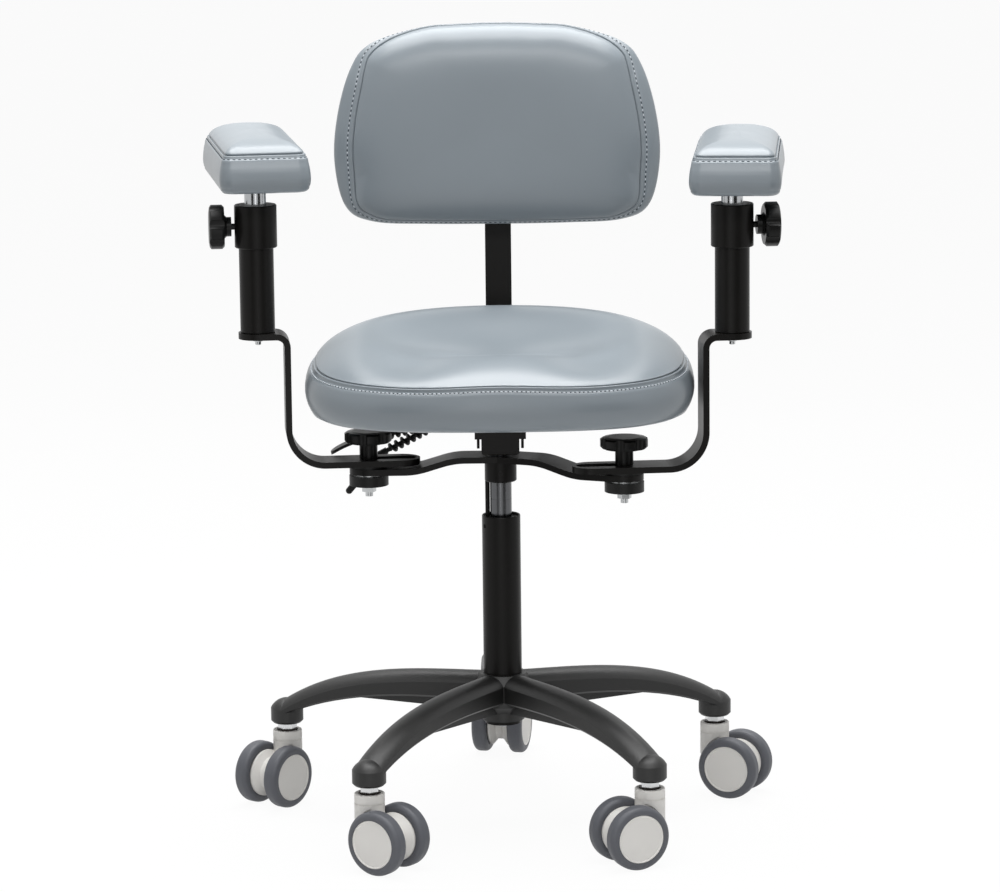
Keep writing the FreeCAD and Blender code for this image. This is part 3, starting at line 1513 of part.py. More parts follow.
# Seat

SEAT_FRONT_SQUARENESS = 2.6
SEAT_REAR_SQUARENESS = 2.15
SEAT_ROLL = 6
SEAT_END_ROLL = 8
# Shares of the half depth at which the seat is cut into sections, from front to rear
SEAT_STATIONS = (-0.985, -0.94, -0.84, -0.64, -0.34, 0.0, 0.34, 0.64, 0.84, 0.94, 0.985)
# Shares of the half width where the arcs of the top begin, bend and end
SEAT_TOP_SHARES = (1, 0.93, 0.8, 0.56, 0.28)


def seat_half_width(share):
    """Half width of the seat outline at a share of its half depth."""
    squareness = SEAT_REAR_SQUARENESS if share > 0 else SEAT_FRONT_SQUARENESS
    return value("seat_width") / 2 * (1 - abs(share) ** squareness) ** (1 / squareness)


def eased(distance, run):
    """Share from 0 to 1 that starts and ends gently."""
    share = min(1, max(0, distance / run))
    return share * share * (3 - 2 * share)


def seat_seam(y):
    """Height of the seam, which rises along the sides."""
    rise = value("seat_side_rise") * eased(y + value("seat_ahead"), value("seat_side_run"))
    return value("cushion_low") + value("seat_band") + rise


def seat_top(across, x, y, share):
    """Height of the top at a share of the half width: crown, sitting dish, thigh channels and pommel."""
    from_front = y + value("seat_ahead")
    gain = value("seat_rear_crown") - value("seat_front_crown")
    crown = value("seat_front_crown") + gain * eased(from_front, value("seat_depth"))
    roll = math.sqrt(1 - across ** SEAT_ROLL) * math.sqrt(1 - abs(share) ** SEAT_END_ROLL)
    width, length = value("seat_dish_width") / 2, value("seat_dish_length") / 2
    far = (x / width) ** 2 + ((y - value("seat_dish_back")) / length) ** 2
    dish = value("seat_dish") * math.exp(-far)
    aside = (abs(x) - value("thigh_channel_spread") / 2) / (value("thigh_channel_width") / 2)
    channel = value("thigh_channel_depth") * math.exp(-aside * aside)
    channel *= 1 - eased(from_front, value("thigh_channel_reach"))
    return seat_seam(y) + (crown - dish - channel) * roll


def seat_section(share):
    """Upright section across the seat: flat below, bulging sides and a top of arcs."""
    y = value("seat_middle") + share * value("seat_depth") / 2
    half = seat_half_width(share)
    low = value("cushion_low") + value("seat_end_lift") * abs(share) ** (2 * SEAT_END_ROLL)
    seam_half = half - value("seat_seam_draw")
    low_half = half - value("seat_side_draw")
    belly = (low + seat_seam(y)) / 2

    def top_spot(across):
        x = seam_half * across
        return Vector(x, y, seat_top(abs(across), x, y, share))

    def mirrored(points):
        return [Vector(-point.x, point.y, point.z) for point in reversed(points)]

    tops = [top_spot(across) for across in SEAT_TOP_SHARES]
    side = [Vector(low_half, y, low), Vector(half, y, belly), tops[0]]
    runs = [side, tops[0:3], tops[2:5]]
    runs.append([tops[4], top_spot(0), top_spot(-SEAT_TOP_SHARES[4])])
    runs += [mirrored(points) for points in reversed(runs[:3])]
    edges = [Part.Arc(*points).toShape() for points in runs]
    edges.append(Part.LineSegment(runs[-1][2], runs[0][0]).toShape())
    return Part.Wire(edges)


def seat_cushion():
    """Seat lofted from front to rear with dish, thigh channels and pommel, hollowed below for its board."""
    form = Part.makeLoft([seat_section(share) for share in SEAT_STATIONS], True)
    gap, inset, corner = value("soft_gap"), value("board_inset"), value("board_corner")
    half = value("seat_width") / 2 - inset + gap
    front = inset - value("seat_ahead") - gap
    rear = value("seat_depth") - value("seat_ahead") - inset + gap
    floor = value("cushion_low") - gap
    hollow = Part.Face(rounded_box(half, front, rear, corner + gap, corner + gap, floor))
    return form.cut(hollow.extrude(Vector(0, 0, value("board_let_in") + 2 * gap)))


free_form("seat_cushion", seat_cushion())

board = new_body("seat_board")
board_sketch = sketch_on(board, "XY_Plane", ("0", "0", "plate_top"))
rectangle(board_sketch, "-seat_width / 2 + board_inset", "seat_width / 2 - board_inset",
          "-seat_ahead + board_inset", "seat_depth - seat_ahead - board_inset")
pad(board, board_sketch, "board_thick")
round_edges(board, "board_corner", lambda edge: near(edge.Length, value("board_thick")))
board_holes = sketch_on(board, "XY_Plane", ("0", "0", "plate_top"))
for x, y in BOLT_CORNERS:
    circle(board_holes, "seat_bolt_diameter + 2 * pin_gap", x + bolt_x, y)
pocket(board, board_holes, "seat_bolt_length - plate_thick + running_gap", reverse=True)
node(board, "seat_board")


# Back

bar = new_body("back_bar")
side_view = sketch_on(bar, "YZ_Plane")
lean = "tan(back_recline)"
bar_low = "back_pin_level - back_bar_thick / 2"
bar_front = "back_pin_rear + back_lug_diameter / 2 + running_gap * 4"
bar_top = "back_pin_level + back_bar_rise"
polygon(side_view, [
    (bar_front, bar_low),
    ("back_bar_rear + back_bar_thick", bar_low),
    (f"back_bar_rear + back_bar_thick + back_bar_rise * {lean}", bar_top),
    (f"back_bar_rear + back_bar_rise * {lean}", bar_top),
    (f"back_bar_rear + back_bar_thick / 2 * {lean}", "back_pin_level + back_bar_thick / 2"),
    (bar_front, "back_pin_level + back_bar_thick / 2"),
])
pad(bar, side_view, "back_bar_width", "Symmetric")
bend_low = value("back_pin_level") - value("back_bar_thick") / 2
bend_high = value("back_pin_level") + value("back_bar_thick") / 2
bend_rear = value("back_bar_rear")


def is_outer_bend(edge):
    middle = edge.CenterOfMass
    return near(middle.x, 0) and near(middle.z, bend_low) and middle.y > bend_rear


def is_inner_bend(edge):
    middle = edge.CenterOfMass
    return near(middle.x, 0) and near(middle.z, bend_high) and middle.y > bend_rear - 1


round_edges(bar, "back_bar_bend + back_bar_thick / 2", is_outer_bend)
round_edges(bar, "back_bar_bend - back_bar_thick / 2", is_inner_bend)
for way in ("-", ""):
    cheek_middle = f"{way}(back_lug_width / 2 + running_gap + (back_bar_width - back_lug_width) / 4)"
    cheek_thick = "(back_bar_width - back_lug_width) / 2 - running_gap"
    cheek = sketch_on(bar, "YZ_Plane", ("0", "0", cheek_middle))
    circle(cheek, "back_lug_diameter", "back_pin_rear", "back_pin_level")
    pad(bar, cheek, cheek_thick, "Symmetric")
    arm = sketch_on(bar, "YZ_Plane", ("0", "0", cheek_middle))
    rectangle(arm, "back_pin_rear", f"{bar_front} + back_bar_thick",
              bar_low, "back_pin_level + back_bar_thick / 2")
    pad(bar, arm, cheek_thick, "Symmetric")
cheek_bore = sketch_on(bar, "YZ_Plane")
circle(cheek_bore, "back_pin_diameter + 2 * pin_gap", "back_pin_rear", "back_pin_level")
pocket(bar, cheek_bore, "2 * back_bar_width", "Symmetric")
node(bar, "back_bar")

back_pin = bore_tool("back_pin", "back_pin_diameter", "back_pin_length", "-back_pin_length / 2",
                     "back_pin_rear", "back_pin_level", "90", (0, 1, 0))
node(back_pin, "back_pin")


def on_bar(piece, rise):
    """Set a piece on the leaning bar: its Z runs up the bar and its XZ plane is the bar's front face."""
    rear = f"back_bar_rear + ({rise}) * {lean}"
    place(piece, "0", rear, f"back_pin_level + {rise}", "-back_recline", (1, 0, 0))


bracket = new_body("back_bracket")
sleeve = sketch_on(bracket, "XY_Plane")
rectangle(sleeve, "-back_bar_width / 2 - running_gap - bracket_wall",
          "back_bar_width / 2 + running_gap + bracket_wall",
          "-running_gap - bracket_wall", "back_bar_thick + running_gap + bracket_wall")
rectangle(sleeve, "-back_bar_width / 2 - running_gap", "back_bar_width / 2 + running_gap",
          "-running_gap", "back_bar_thick + running_gap")
pad(bracket, sleeve, "bracket_height", "Symmetric")
wing = sketch_on(bracket, "XZ_Plane", ("0", "0", "running_gap + bracket_wall"))
rectangle(wing, "-back_plate_width / 2", "back_plate_width / 2",
          "-back_plate_height / 2", "back_plate_height / 2")
pad(bracket, wing, "back_plate_thick")
on_bar(bracket, "bracket_rise")
node(bracket, "back_bracket")

board_front = "running_gap + bracket_wall + back_plate_thick"
back_board = new_body("backrest_board")
back_sheet = sketch_on(back_board, "XZ_Plane", ("0", "0", board_front))
rectangle(back_sheet, "-back_board_width / 2", "back_board_width / 2",
          "-back_board_height / 2", "back_board_height / 2")
pad(back_board, back_sheet, "back_board_thick")
round_edges(back_board, "back_board_height / 3", lambda edge: near(edge.Length, value("back_board_thick")))
on_bar(back_board, "bracket_rise")
node(back_board, "backrest_board")


def back_outline(inset, depth):
    """Backrest outline, a rounded trapezoid that is widest low down, drawn in by an inset."""
    half = value("back_cushion_width") / 2 - inset
    tall = value("back_cushion_height") / 2 - inset
    shares = [(0, -1), (0.42, -0.995), (0.77, -0.965), (0.935, -0.81), (1, -0.36), (0.975, 0.12)]
    shares += [(0.89, 0.57), (0.77, 0.80), (0.47, 0.96), (0.24, 0.99), (0, 1)]
    spots = [Vector(half * across, -depth, tall * up) for across, up in shares]
    right = [spots[step:step + 3] for step in range(0, len(spots) - 1, 2)]
    edges = [Part.Arc(*points).toShape() for points in right]
    for points in reversed(right):
        mirrored = [Vector(-point.x, point.y, point.z) for point in reversed(points)]
        edges.append(Part.Arc(*mirrored).toShape())
    return Part.Wire(edges)


def backrest_cushion():
    """Backrest with a bulging band round its edge and a crowned front."""
    start = value("running_gap") + value("bracket_wall") + value("back_plate_thick")
    start += value("back_board_thick") + value("soft_gap")
    band, crown, draw = value("back_cushion_band"), value("back_cushion_crown"), value("back_side_draw")
    quarter = value("back_cushion_height") / 8
    return Part.makeLoft([
        back_outline(1.4 * draw, start),
        back_outline(0, start + band / 2),
        back_outline(draw, start + band),
        back_outline(draw + quarter / 1.6, start + band + 0.75 * crown),
        back_outline(draw + quarter * 1.9, start + band + crown),
    ], True)


on_bar(free_form("backrest_cushion", backrest_cushion()), "bracket_rise")

# Check every object, then write the pieces
doc.recompute()
broken = [item.Name for item in doc.Objects if "Invalid" in item.State or "Error" in item.State]
for piece in NODES:
    if piece.Shape.isNull() or not piece.Shape.isValid():
        broken.append(piece.Label)
if broken:
    raise RuntimeError("failed pieces: " + ", ".join(broken))
for piece in NODES:
    piece.Shape.exportStep(f"parts/{piece.Label}.step")
print(f"{len(NODES)} pieces written")
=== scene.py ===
"""Microscope chair: upholstery, stitching, finishes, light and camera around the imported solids.

Metres in the CAD frame: the origin is on the floor under the column, +Z is up and the sitter faces -Y.
Sizes of the upholstery are named in millimetres.
"""
import math

import bmesh
import bpy
import numpy as np
from bpy.props import FloatProperty, FloatVectorProperty, PointerProperty
from mathutils import Matrix, Vector, noise


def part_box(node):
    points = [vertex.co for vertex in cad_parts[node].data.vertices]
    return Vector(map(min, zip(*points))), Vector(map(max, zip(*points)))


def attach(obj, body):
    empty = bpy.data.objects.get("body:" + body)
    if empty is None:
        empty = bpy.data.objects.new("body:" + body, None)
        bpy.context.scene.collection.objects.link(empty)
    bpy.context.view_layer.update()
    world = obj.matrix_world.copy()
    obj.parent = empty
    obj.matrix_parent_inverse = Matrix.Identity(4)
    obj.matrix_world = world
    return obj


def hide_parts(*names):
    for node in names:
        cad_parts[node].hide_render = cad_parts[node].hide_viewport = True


bl_info = {
    "name": "Microscope chair",
    "version": (1, 0, 0),
    "blender": (4, 5, 0),
    "location": "View3D > Sidebar > Chair",
    "description": "Dresses the chair's solids with upholstery, stitching and finishes",
    "category": "Object",
}

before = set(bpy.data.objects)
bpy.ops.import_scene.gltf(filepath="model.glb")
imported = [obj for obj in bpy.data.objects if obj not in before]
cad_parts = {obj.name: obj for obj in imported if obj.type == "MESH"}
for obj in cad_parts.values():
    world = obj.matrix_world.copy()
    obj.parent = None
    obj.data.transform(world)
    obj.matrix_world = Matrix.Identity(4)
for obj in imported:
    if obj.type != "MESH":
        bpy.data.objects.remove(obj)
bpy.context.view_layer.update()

MM = 0.001
SIDES = ("right", "left")
CASTERS = ("front_right", "front_left", "left", "rear", "right")
# Points round each cushion, and how many of them the coarse skin for the cloth leaves out
ROUND_SEAT, ROUND_BACK = 480, 400
COARSE = 4
# Cloth that swells each cover: steps, mass of a point in kg, pressure and frames
CLOTH_QUALITY, CLOTH_MASS, CLOTH_PRESSURE, CLOTH_FRAMES = 6, 0.4, 4.0, 20


def linear(hex_text):
    """Linear colour of an sRGB hex value."""
    channels = [int(hex_text[start:start + 2], 16) / 255 for start in (1, 3, 5)]
    lit = [c / 12.92 if c <= 0.04045 else ((c + 0.055) / 1.055) ** 2.4 for c in channels]
    return (*lit, 1.0)


# Sizes and colours that a user would change

class ChairSizes(bpy.types.PropertyGroup):
    """Sizes of the upholstery's sewing, in millimetres."""
    seat_pitch: FloatProperty(name="Seat pitch", description="Seat, from stitch to stitch, mm", default=5.6)
    back_pitch: FloatProperty(name="Back pitch", description="Backrest, from stitch to stitch, mm",
                              default=6.6)
    pad_pitch: FloatProperty(name="Pad pitch", description="Pads, from stitch to stitch, mm", default=7.1)
    thread_width: FloatProperty(name="Thread width", description="Thickness of the thread, mm", default=1.9)
    hole_width: FloatProperty(name="Hole width", description="Width of a needle hole, mm", default=2.0)
    seam_groove: FloatProperty(name="Seam groove", description="Depth of the sewn seam, mm", default=1.7)
    seam_welt: FloatProperty(name="Seam welt", description="Height of the fold beside the seam, mm",
                             default=0.75)
    seat_line: FloatProperty(name="Seat line", description="Seat, from the seam to its stitches, mm",
                             default=7.0)
    back_line: FloatProperty(name="Back line", description="Backrest, from the seam to its stitches, mm",
                             default=9.0)
    pad_line: FloatProperty(name="Pad line", description="Pads, from the seam to their stitches, mm",
                            default=5.6)
    pucker: FloatProperty(name="Pucker", description="Height of the gathers along a seam, mm", default=0.3)
    swell: FloatProperty(name="Swell", description="Most that the foam pushes a cover out, mm", default=3.0)


class ChairColours(bpy.types.PropertyGroup):
    """Colours of the finishes, linear."""
    vinyl: FloatVectorProperty(name="Vinyl", description="Upholstery", subtype="COLOR", size=4,
                               default=linear("#7C848A"))
    thread: FloatVectorProperty(name="Thread", description="Sewing thread", subtype="COLOR", size=4,
                                default=linear("#CBD1D7"))
    # Painted shade: dark colour of the needle hole pieces, standing in for the shade in the holes and gathers
    # of a seam
    hole: FloatVectorProperty(name="Needle hole", description="Shaded needle holes", subtype="COLOR", size=4,
                              default=linear("#3A4148"))
    black: FloatVectorProperty(name="Black coat", description="Powder coat of the frame",
                               subtype="COLOR", size=4, default=linear("#161514"))
    caster: FloatVectorProperty(name="Caster grey", description="Caster housings and discs",
                                subtype="COLOR", size=4, default=linear("#E0DEDA"))
    tread: FloatVectorProperty(name="Tread", description="Caster treads", subtype="COLOR", size=4,
                               default=linear("#55575D"))


class ChairStage(bpy.types.PropertyGroup):
    """Camera: its lens, angles and place."""
    focal: FloatProperty(name="Focal length", description="Camera lens, mm on a 36 mm sensor", default=151.17)
    pitch: FloatProperty(name="Pitch", description="Camera looks down by, degrees", default=10.31)
    roll: FloatProperty(name="Roll", description="Camera is rolled by, degrees", default=0.627)
    pan: FloatProperty(name="Pan", description="Camera looks aside by, degrees", default=0.02)
    eye: FloatVectorProperty(name="Eye", description="Camera place, m", size=3, subtype="TRANSLATION",
                             default=(-0.00235, -5.3566, 1.466))


# Small helpers

def add(tree, kind, settings=None, **inputs):
    """Add a node with its settings.

    An input is a value, or the socket that feeds it. It is called by its name, with _ for a space, or by i
    and its number."""
    node = tree.nodes.new(kind)
    for key, setting in (settings or {}).items():
        setattr(node, key, setting)
    for key, given in inputs.items():
        numbered = key[0] == "i" and key[1:].isdigit()
        socket = node.inputs[int(key[1:]) if numbered else key.replace("_", " ")]
        if isinstance(given, bpy.types.NodeSocket):
            tree.links.new(given, socket)
        else:
            socket.default_value = given
    return node


def per_mm(size):
    """Texture scale at which a pattern repeats about every so many millimetres."""
    return 1 / (size * MM)


def link_piece(name, mesh, material, body):
    """Put a finished mesh in the scene as a piece that rides on a body."""
    piece = bpy.data.objects.new(name, mesh)
    bpy.context.scene.collection.objects.link(piece)
    mesh.materials.clear()
    mesh.materials.append(material)
    mesh.shade_smooth()
    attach(piece, body)
    return piece


def dress(node, material):
    """Give a CAD node its finish."""
    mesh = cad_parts[node].data
    mesh.materials.clear()
    mesh.materials.append(material)


# Finishes

def shaded(colour, factor):
    """Colour made darker or lighter by a factor."""
    return [min(1, c * factor) for c in colour[:3]] + [1]


class Finish:
    """Material with a principled shader, and patterns on the object's own coordinates."""

    def __init__(self, name):
        self.material = bpy.data.materials.new(name)
        self.material.use_nodes = True
        self.tree = self.material.node_tree
        self.shader = self.tree.nodes["Principled BSDF"]
        self.place = add(self.tree, "ShaderNodeTexCoord").outputs["Object"]

    def put(self, **values):
        """Set inputs of the shader by name, with _ for a space."""
        for key, value in values.items():
            self.shader.inputs[key.replace("_", " ")].default_value = value

    def feed(self, key, socket):
        """Feed an input of the shader."""
        self.tree.links.new(socket, self.shader.inputs[key])

    def speckle(self, size, detail):
        """Noise in patches about so many millimetres wide."""
        noisy = add(self.tree, "ShaderNodeTexNoise", Vector=self.place, Scale=per_mm(size), Detail=detail)
        return noisy.outputs["Fac"]

    def streaks(self, sizes, detail):
        """Noise in patches that are about so many millimetres long in X, Y and Z."""
        scales = [per_mm(size) for size in sizes]
        stretch = add(self.tree, "ShaderNodeMapping", Vector=self.place, Scale=scales).outputs["Vector"]
        return add(self.tree, "ShaderNodeTexNoise", Vector=stretch, Scale=1.0, Detail=detail).outputs["Fac"]

    def tint(self, pattern, first, second):
        """Colour the surface from one colour to another by a pattern."""
        mix = add(self.tree, "ShaderNodeMix", {"data_type": "RGBA"}, i0=pattern, i6=first, i7=second)
        self.feed("Base Color", mix.outputs[2])

    def roughen(self, pattern, least, most):
        """Let the roughness follow a pattern."""
        span = add(self.tree, "ShaderNodeMapRange", Value=pattern, To_Min=least, To_Max=most)
        self.feed("Roughness", span.outputs["Result"])

    def emboss(self, pattern, strength, depth):
        """Raise a pattern by a depth in millimetres."""
        bump = add(self.tree, "ShaderNodeBump", Height=pattern, Strength=strength, Distance=depth * MM)
        self.feed("Normal", bump.outputs["Normal"])


def upholstery_vinyl(colour):
    """Calendered PVC on knit, smooth and taut: satin, with a pebble grain that only breaks the highlight."""
    finish = Finish("upholstery_vinyl")
    finish.tint(finish.speckle(140, 2.0), shaded(colour, 0.95), shaded(colour, 1.05))
    finish.roughen(finish.speckle(45, 3.0), 0.27, 0.34)
    # The real pebbles are about 0.8 mm wide; drawn 1.8 mm wide so that they show
    pebble = add(finish.tree, "ShaderNodeTexVoronoi", {"feature": "SMOOTH_F1"}, Vector=finish.place,
                 Scale=per_mm(1.8))
    grain = add(finish.tree, "ShaderNodeMath", {"operation": "ADD"}, i0=pebble.outputs["Distance"],
                i1=finish.speckle(0.9, 2.0))
    finish.emboss(grain.outputs["Value"], 0.06, 0.3)
    finish.put(IOR=1.5)
    return finish.material


def bonded_thread(colour):
    """Bonded polyester thread: matt, with the light and dark of its twist."""
    finish = Finish("bonded_thread")
    finish.tint(finish.speckle(1.2, 2.0), shaded(colour, 0.8), colour)
    finish.put(Roughness=0.7)
    return finish.material


def needle_hole_shade(colour):
    """Painted shade of the hole that the needle left in the cover: a matt dark colour that stands in for the
    shade in it.
    """
    finish = Finish("needle_hole_shade")
    finish.tint(finish.speckle(2, 1.0), shaded(colour, 0.8), colour)
    finish.put(Roughness=0.9, Specular_IOR_Level=0.1)
    return finish.material


def powder_coat(colour):
    """Satin black polyester powder coat on steel: near black, with the fine orange peel of the baked coat."""
    finish = Finish("powder_coat_black")
    cloud = finish.speckle(60, 3.0)
    finish.tint(cloud, shaded(colour, 0.8), shaded(colour, 1.25))
    finish.roughen(cloud, 0.28, 0.4)
    # The peel is about 0.5 mm wide; drawn 1.4 mm wide so that it shows
    finish.emboss(finish.speckle(1.4, 2.0), 0.12, 0.2)
    finish.put(Specular_IOR_Level=0.12)
    return finish.material


def moulded_black(name, roughness, specular):
    """Moulded black plastic: an even black with the mild ripple of the mould."""
    finish = Finish(name)
    cloud = finish.speckle(25, 3.0)
    finish.tint(cloud, linear("#121212"), linear("#1B1B1A"))
    finish.roughen(cloud, roughness - 0.05, roughness + 0.05)
    finish.emboss(finish.speckle(3, 1.0), 0.08, 0.2)
    finish.put(Specular_IOR_Level=specular)
    return finish.material


def turned_steel(name, roughness, tone):
    """Ground and polished steel: bright, with fine rings left by the grinding wheel."""
    finish = Finish(name)
    finish.put(Metallic=1.0)
    # Grinding rings are finer than 0.1 mm; drawn 0.7 mm apart so that they show
    rings = finish.streaks((40, 40, 0.7), 3.0)
    finish.tint(rings, shaded(linear(tone), 0.88), linear(tone))
    finish.roughen(rings, roughness * 0.8, roughness * 1.3)
    finish.emboss(rings, 0.06, 0.1)
    return finish.material


def stem_steel(collar):
    """Caster stem: bright zinc plate on the hexagon, and a dark colour on the collar below a height."""
    finish = Finish("stem_steel")
    finish.put(Metallic=1.0)
    height = add(finish.tree, "ShaderNodeSeparateXYZ", Vector=finish.place)
    above = add(finish.tree, "ShaderNodeMath", {"operation": "GREATER_THAN"}, i0=height.outputs["Z"],
                i1=collar)
    finish.tint(above.outputs["Value"], linear("#34302E"), linear("#D4D5D6"))
    finish.roughen(finish.speckle(6, 2.0), 0.2, 0.36)
    return finish.material


def caster_nylon(colour):
    """Light grey moulded nylon: matt, with a faint flow pattern and a fine spark-eroded texture."""
    finish = Finish("caster_nylon_grey")
    flow = finish.speckle(35, 2.0)
    finish.tint(flow, shaded(colour, 0.95), shaded(colour, 1.03))
    finish.roughen(flow, 0.45, 0.56)
    # The eroded texture is about 0.1 mm; drawn 0.9 mm wide so that it shows
    finish.emboss(finish.speckle(0.9, 1.0), 0.06, 0.15)
    return finish.material


def soft_tread(colour):
    """Polyurethane tread: dull dark grey with light scuffs from the floor."""
    finish = Finish("polyurethane_tread")
    scuff = finish.speckle(9, 4.0)
    finish.tint(scuff, shaded(colour, 0.88), shaded(colour, 1.1))
    finish.roughen(scuff, 0.42, 0.6)
    finish.emboss(scuff, 0.05, 0.2)
    return finish.material


def stained_plywood():
    """Plywood under a dark stain: near black, with long grain along X."""
    finish = Finish("stained_plywood")
    grain = finish.streaks((160, 7, 7), 5.0)
    ramp = add(finish.tree, "ShaderNodeValToRGB", Fac=grain)
    dark, pale = ramp.color_ramp.elements
    dark.color, dark.position = linear("#1B1816"), 0.3
    pale.color, pale.position = linear("#2E2925"), 0.7
    finish.feed("Base Color", ramp.outputs["Color"])
    finish.roughen(grain, 0.55, 0.75)
    finish.emboss(grain, 0.1, 0.3)
    return finish.material


def kept_finish(name, maker, *given):
    """The finish of that name, made the first time that it is asked for."""
    return bpy.data.materials.get(name) or maker(*given)


def satin_nylon():
    """Satin black nylon of the levers and discs, and of the stage's cards."""
    return kept_finish("nylon_black", moulded_black, "nylon_black", 0.42, 0.2)


# Cushion forms

def skin(name, rings):
    """Closed mesh through rings of equally many points, from the underside up, with a pole at each end."""
    count = len(rings[0])
    points = [point for ring in rings for point in ring]
    faces = []
    for row in range(len(rings) - 1):
        for step in range(count):
            after = (step + 1) % count
            faces.append((row * count + step, row * count + after,
                          (row + 1) * count + after, (row + 1) * count + step))
    for row, pole in ((0, len(points)), (len(rings) - 1, len(points) + 1)):
        points.append(sum((Vector(point) for point in rings[row]), Vector()) / count)
        for step in range(count):
            faces.append((row * count + step, row * count + (step + 1) % count, pole))
    mesh = bpy.data.meshes.new(name)
    mesh.from_pydata([tuple(point) for point in points], [], faces)
    work = bmesh.new()
    work.from_mesh(mesh)
    bmesh.ops.recalc_face_normals(work, faces=work.faces)
    work.to_mesh(mesh)
    work.free()
    return mesh


def swollen(rings, held, most):
    """Swell a coarse copy of the skin as cloth over foam, and move the rings as far as it moved.

    held gives for each ring how firmly it is sewn down or rests on its board, from 0 to 1."""
    coarse_rows = [row for row in range(len(rings)) if row % 2 == 0 or row == len(rings) - 1]
    coarse = [rings[row][::COARSE] for row in coarse_rows]
    mesh = skin("cloth", coarse)
    piece = bpy.data.objects.new("cloth", mesh)
    scene = bpy.context.scene
    scene.collection.objects.link(piece)
    columns = len(coarse[0])
    pins = piece.vertex_groups.new(name="sewn")
    for row, kept in enumerate(coarse_rows):
        pins.add(range(row * columns, (row + 1) * columns), held[kept], "REPLACE")
    # The pole of the underside
    pins.add([len(coarse) * columns], 1.0, "REPLACE")
    cloth = piece.modifiers.new("cloth", "CLOTH")
    cloth.settings.quality = CLOTH_QUALITY
    cloth.settings.mass = CLOTH_MASS
    cloth.settings.use_pressure = True
    cloth.settings.uniform_pressure_force = CLOTH_PRESSURE
    cloth.settings.effector_weights.gravity = 0.0
    cloth.settings.vertex_group_mass = "sewn"
    cloth.point_cache.frame_start = 1
    cloth.point_cache.frame_end = CLOTH_FRAMES
    for step in range(1, CLOTH_FRAMES + 1):
        scene.frame_set(step)
    seen = piece.evaluated_get(bpy.context.evaluated_depsgraph_get()).to_mesh()
    moved = np.array([v.co for v in seen.vertices]) - np.array([v.co for v in mesh.vertices])
    scene.frame_set(1)
    bpy.data.objects.remove(piece)
    bpy.data.meshes.remove(mesh)
    moved = moved[:len(coarse) * columns].reshape(len(coarse), columns, 3)
    length = np.linalg.norm(moved, axis=2, keepdims=True)
    moved *= np.minimum(1, most * MM / np.maximum(length, 1e-9))
    # Spread the coarse movement over the fine rings
    fine_step = np.arange(len(rings[0])) / COARSE
    wide = np.concatenate([moved, moved[:, :1]], axis=1)
    coarse_step = np.arange(columns + 1)
    rows = np.stack([[np.interp(fine_step, coarse_step, row[:, axis]) for axis in range(3)] for row in wide])
    spread = np.stack([[np.interp(range(len(rings)), coarse_rows, rows[:, axis, step]) for axis in range(3)]
                       for step in range(len(rings[0]))])
    return [[Vector(point) + Vector(spread[step, :, row]) for step, point in enumerate(ring)]
            for row, ring in enumerate(rings)]


# Folds of a cover beside its seam: height as a share of the welt, place as a share of the way to the
# stitches, and a shift from there and a width, both in mm
SEAM_FOLDS = ((0.5, 0, -2.6, 1.6), (1, 0.3, 0, 1.1), (-1.1, 0.72, 0, 1.5), (-0.7, 1, 0, 0.9),
              (0.5, 1.5, 0, 2.4))
GROOVE_WIDTH = 0.9
# Gathers, mm: where on the band they are highest, their reach, and the width of the coarse and fine ones
GATHER_MIDDLE, GATHER_REACH, GATHER_COARSE, GATHER_FINE = 3, 8, 13, 6
# Depth of the needle holes' middles in the cover, mm
HOLE_SINK = 0.3


def seam_relief(distance, line):
    """Height of the cover near a seam, mm, at a distance down the band, with the stitches on the line."""
    sizes = bpy.context.scene.chair_sizes
    height = -sizes.seam_groove * math.exp(-(distance / GROOVE_WIDTH) ** 2)
    for share, place, shift, width in SEAM_FOLDS:
        height += share * sizes.seam_welt * math.exp(-((distance - place * line - shift) / width) ** 2)
    return height


def sew(mesh, rings, distances, line):
    """Press the seam into a skin and gather the cover beside it, along the skin's own normals."""
    count = len(rings[0])
    pucker = bpy.context.scene.chair_sizes.pucker
    normals = [vertex.normal.copy() for vertex in mesh.vertices]
    for row, distance in enumerate(distances):
        if distance is None:
            continue
        relief = seam_relief(distance, line)
        reach = math.exp(-(abs(distance - GATHER_MIDDLE) / GATHER_REACH) ** 2)
        for step in range(count):
            at = row * count + step
            vertex = mesh.vertices[at]
            coarse = noise.noise(vertex.co * per_mm(GATHER_COARSE))
            gather = coarse + 0.5 * noise.noise(vertex.co * per_mm(GATHER_FINE))
            vertex.co += normals[at] * (relief + pucker * gather * reach) * MM
    mesh.update()


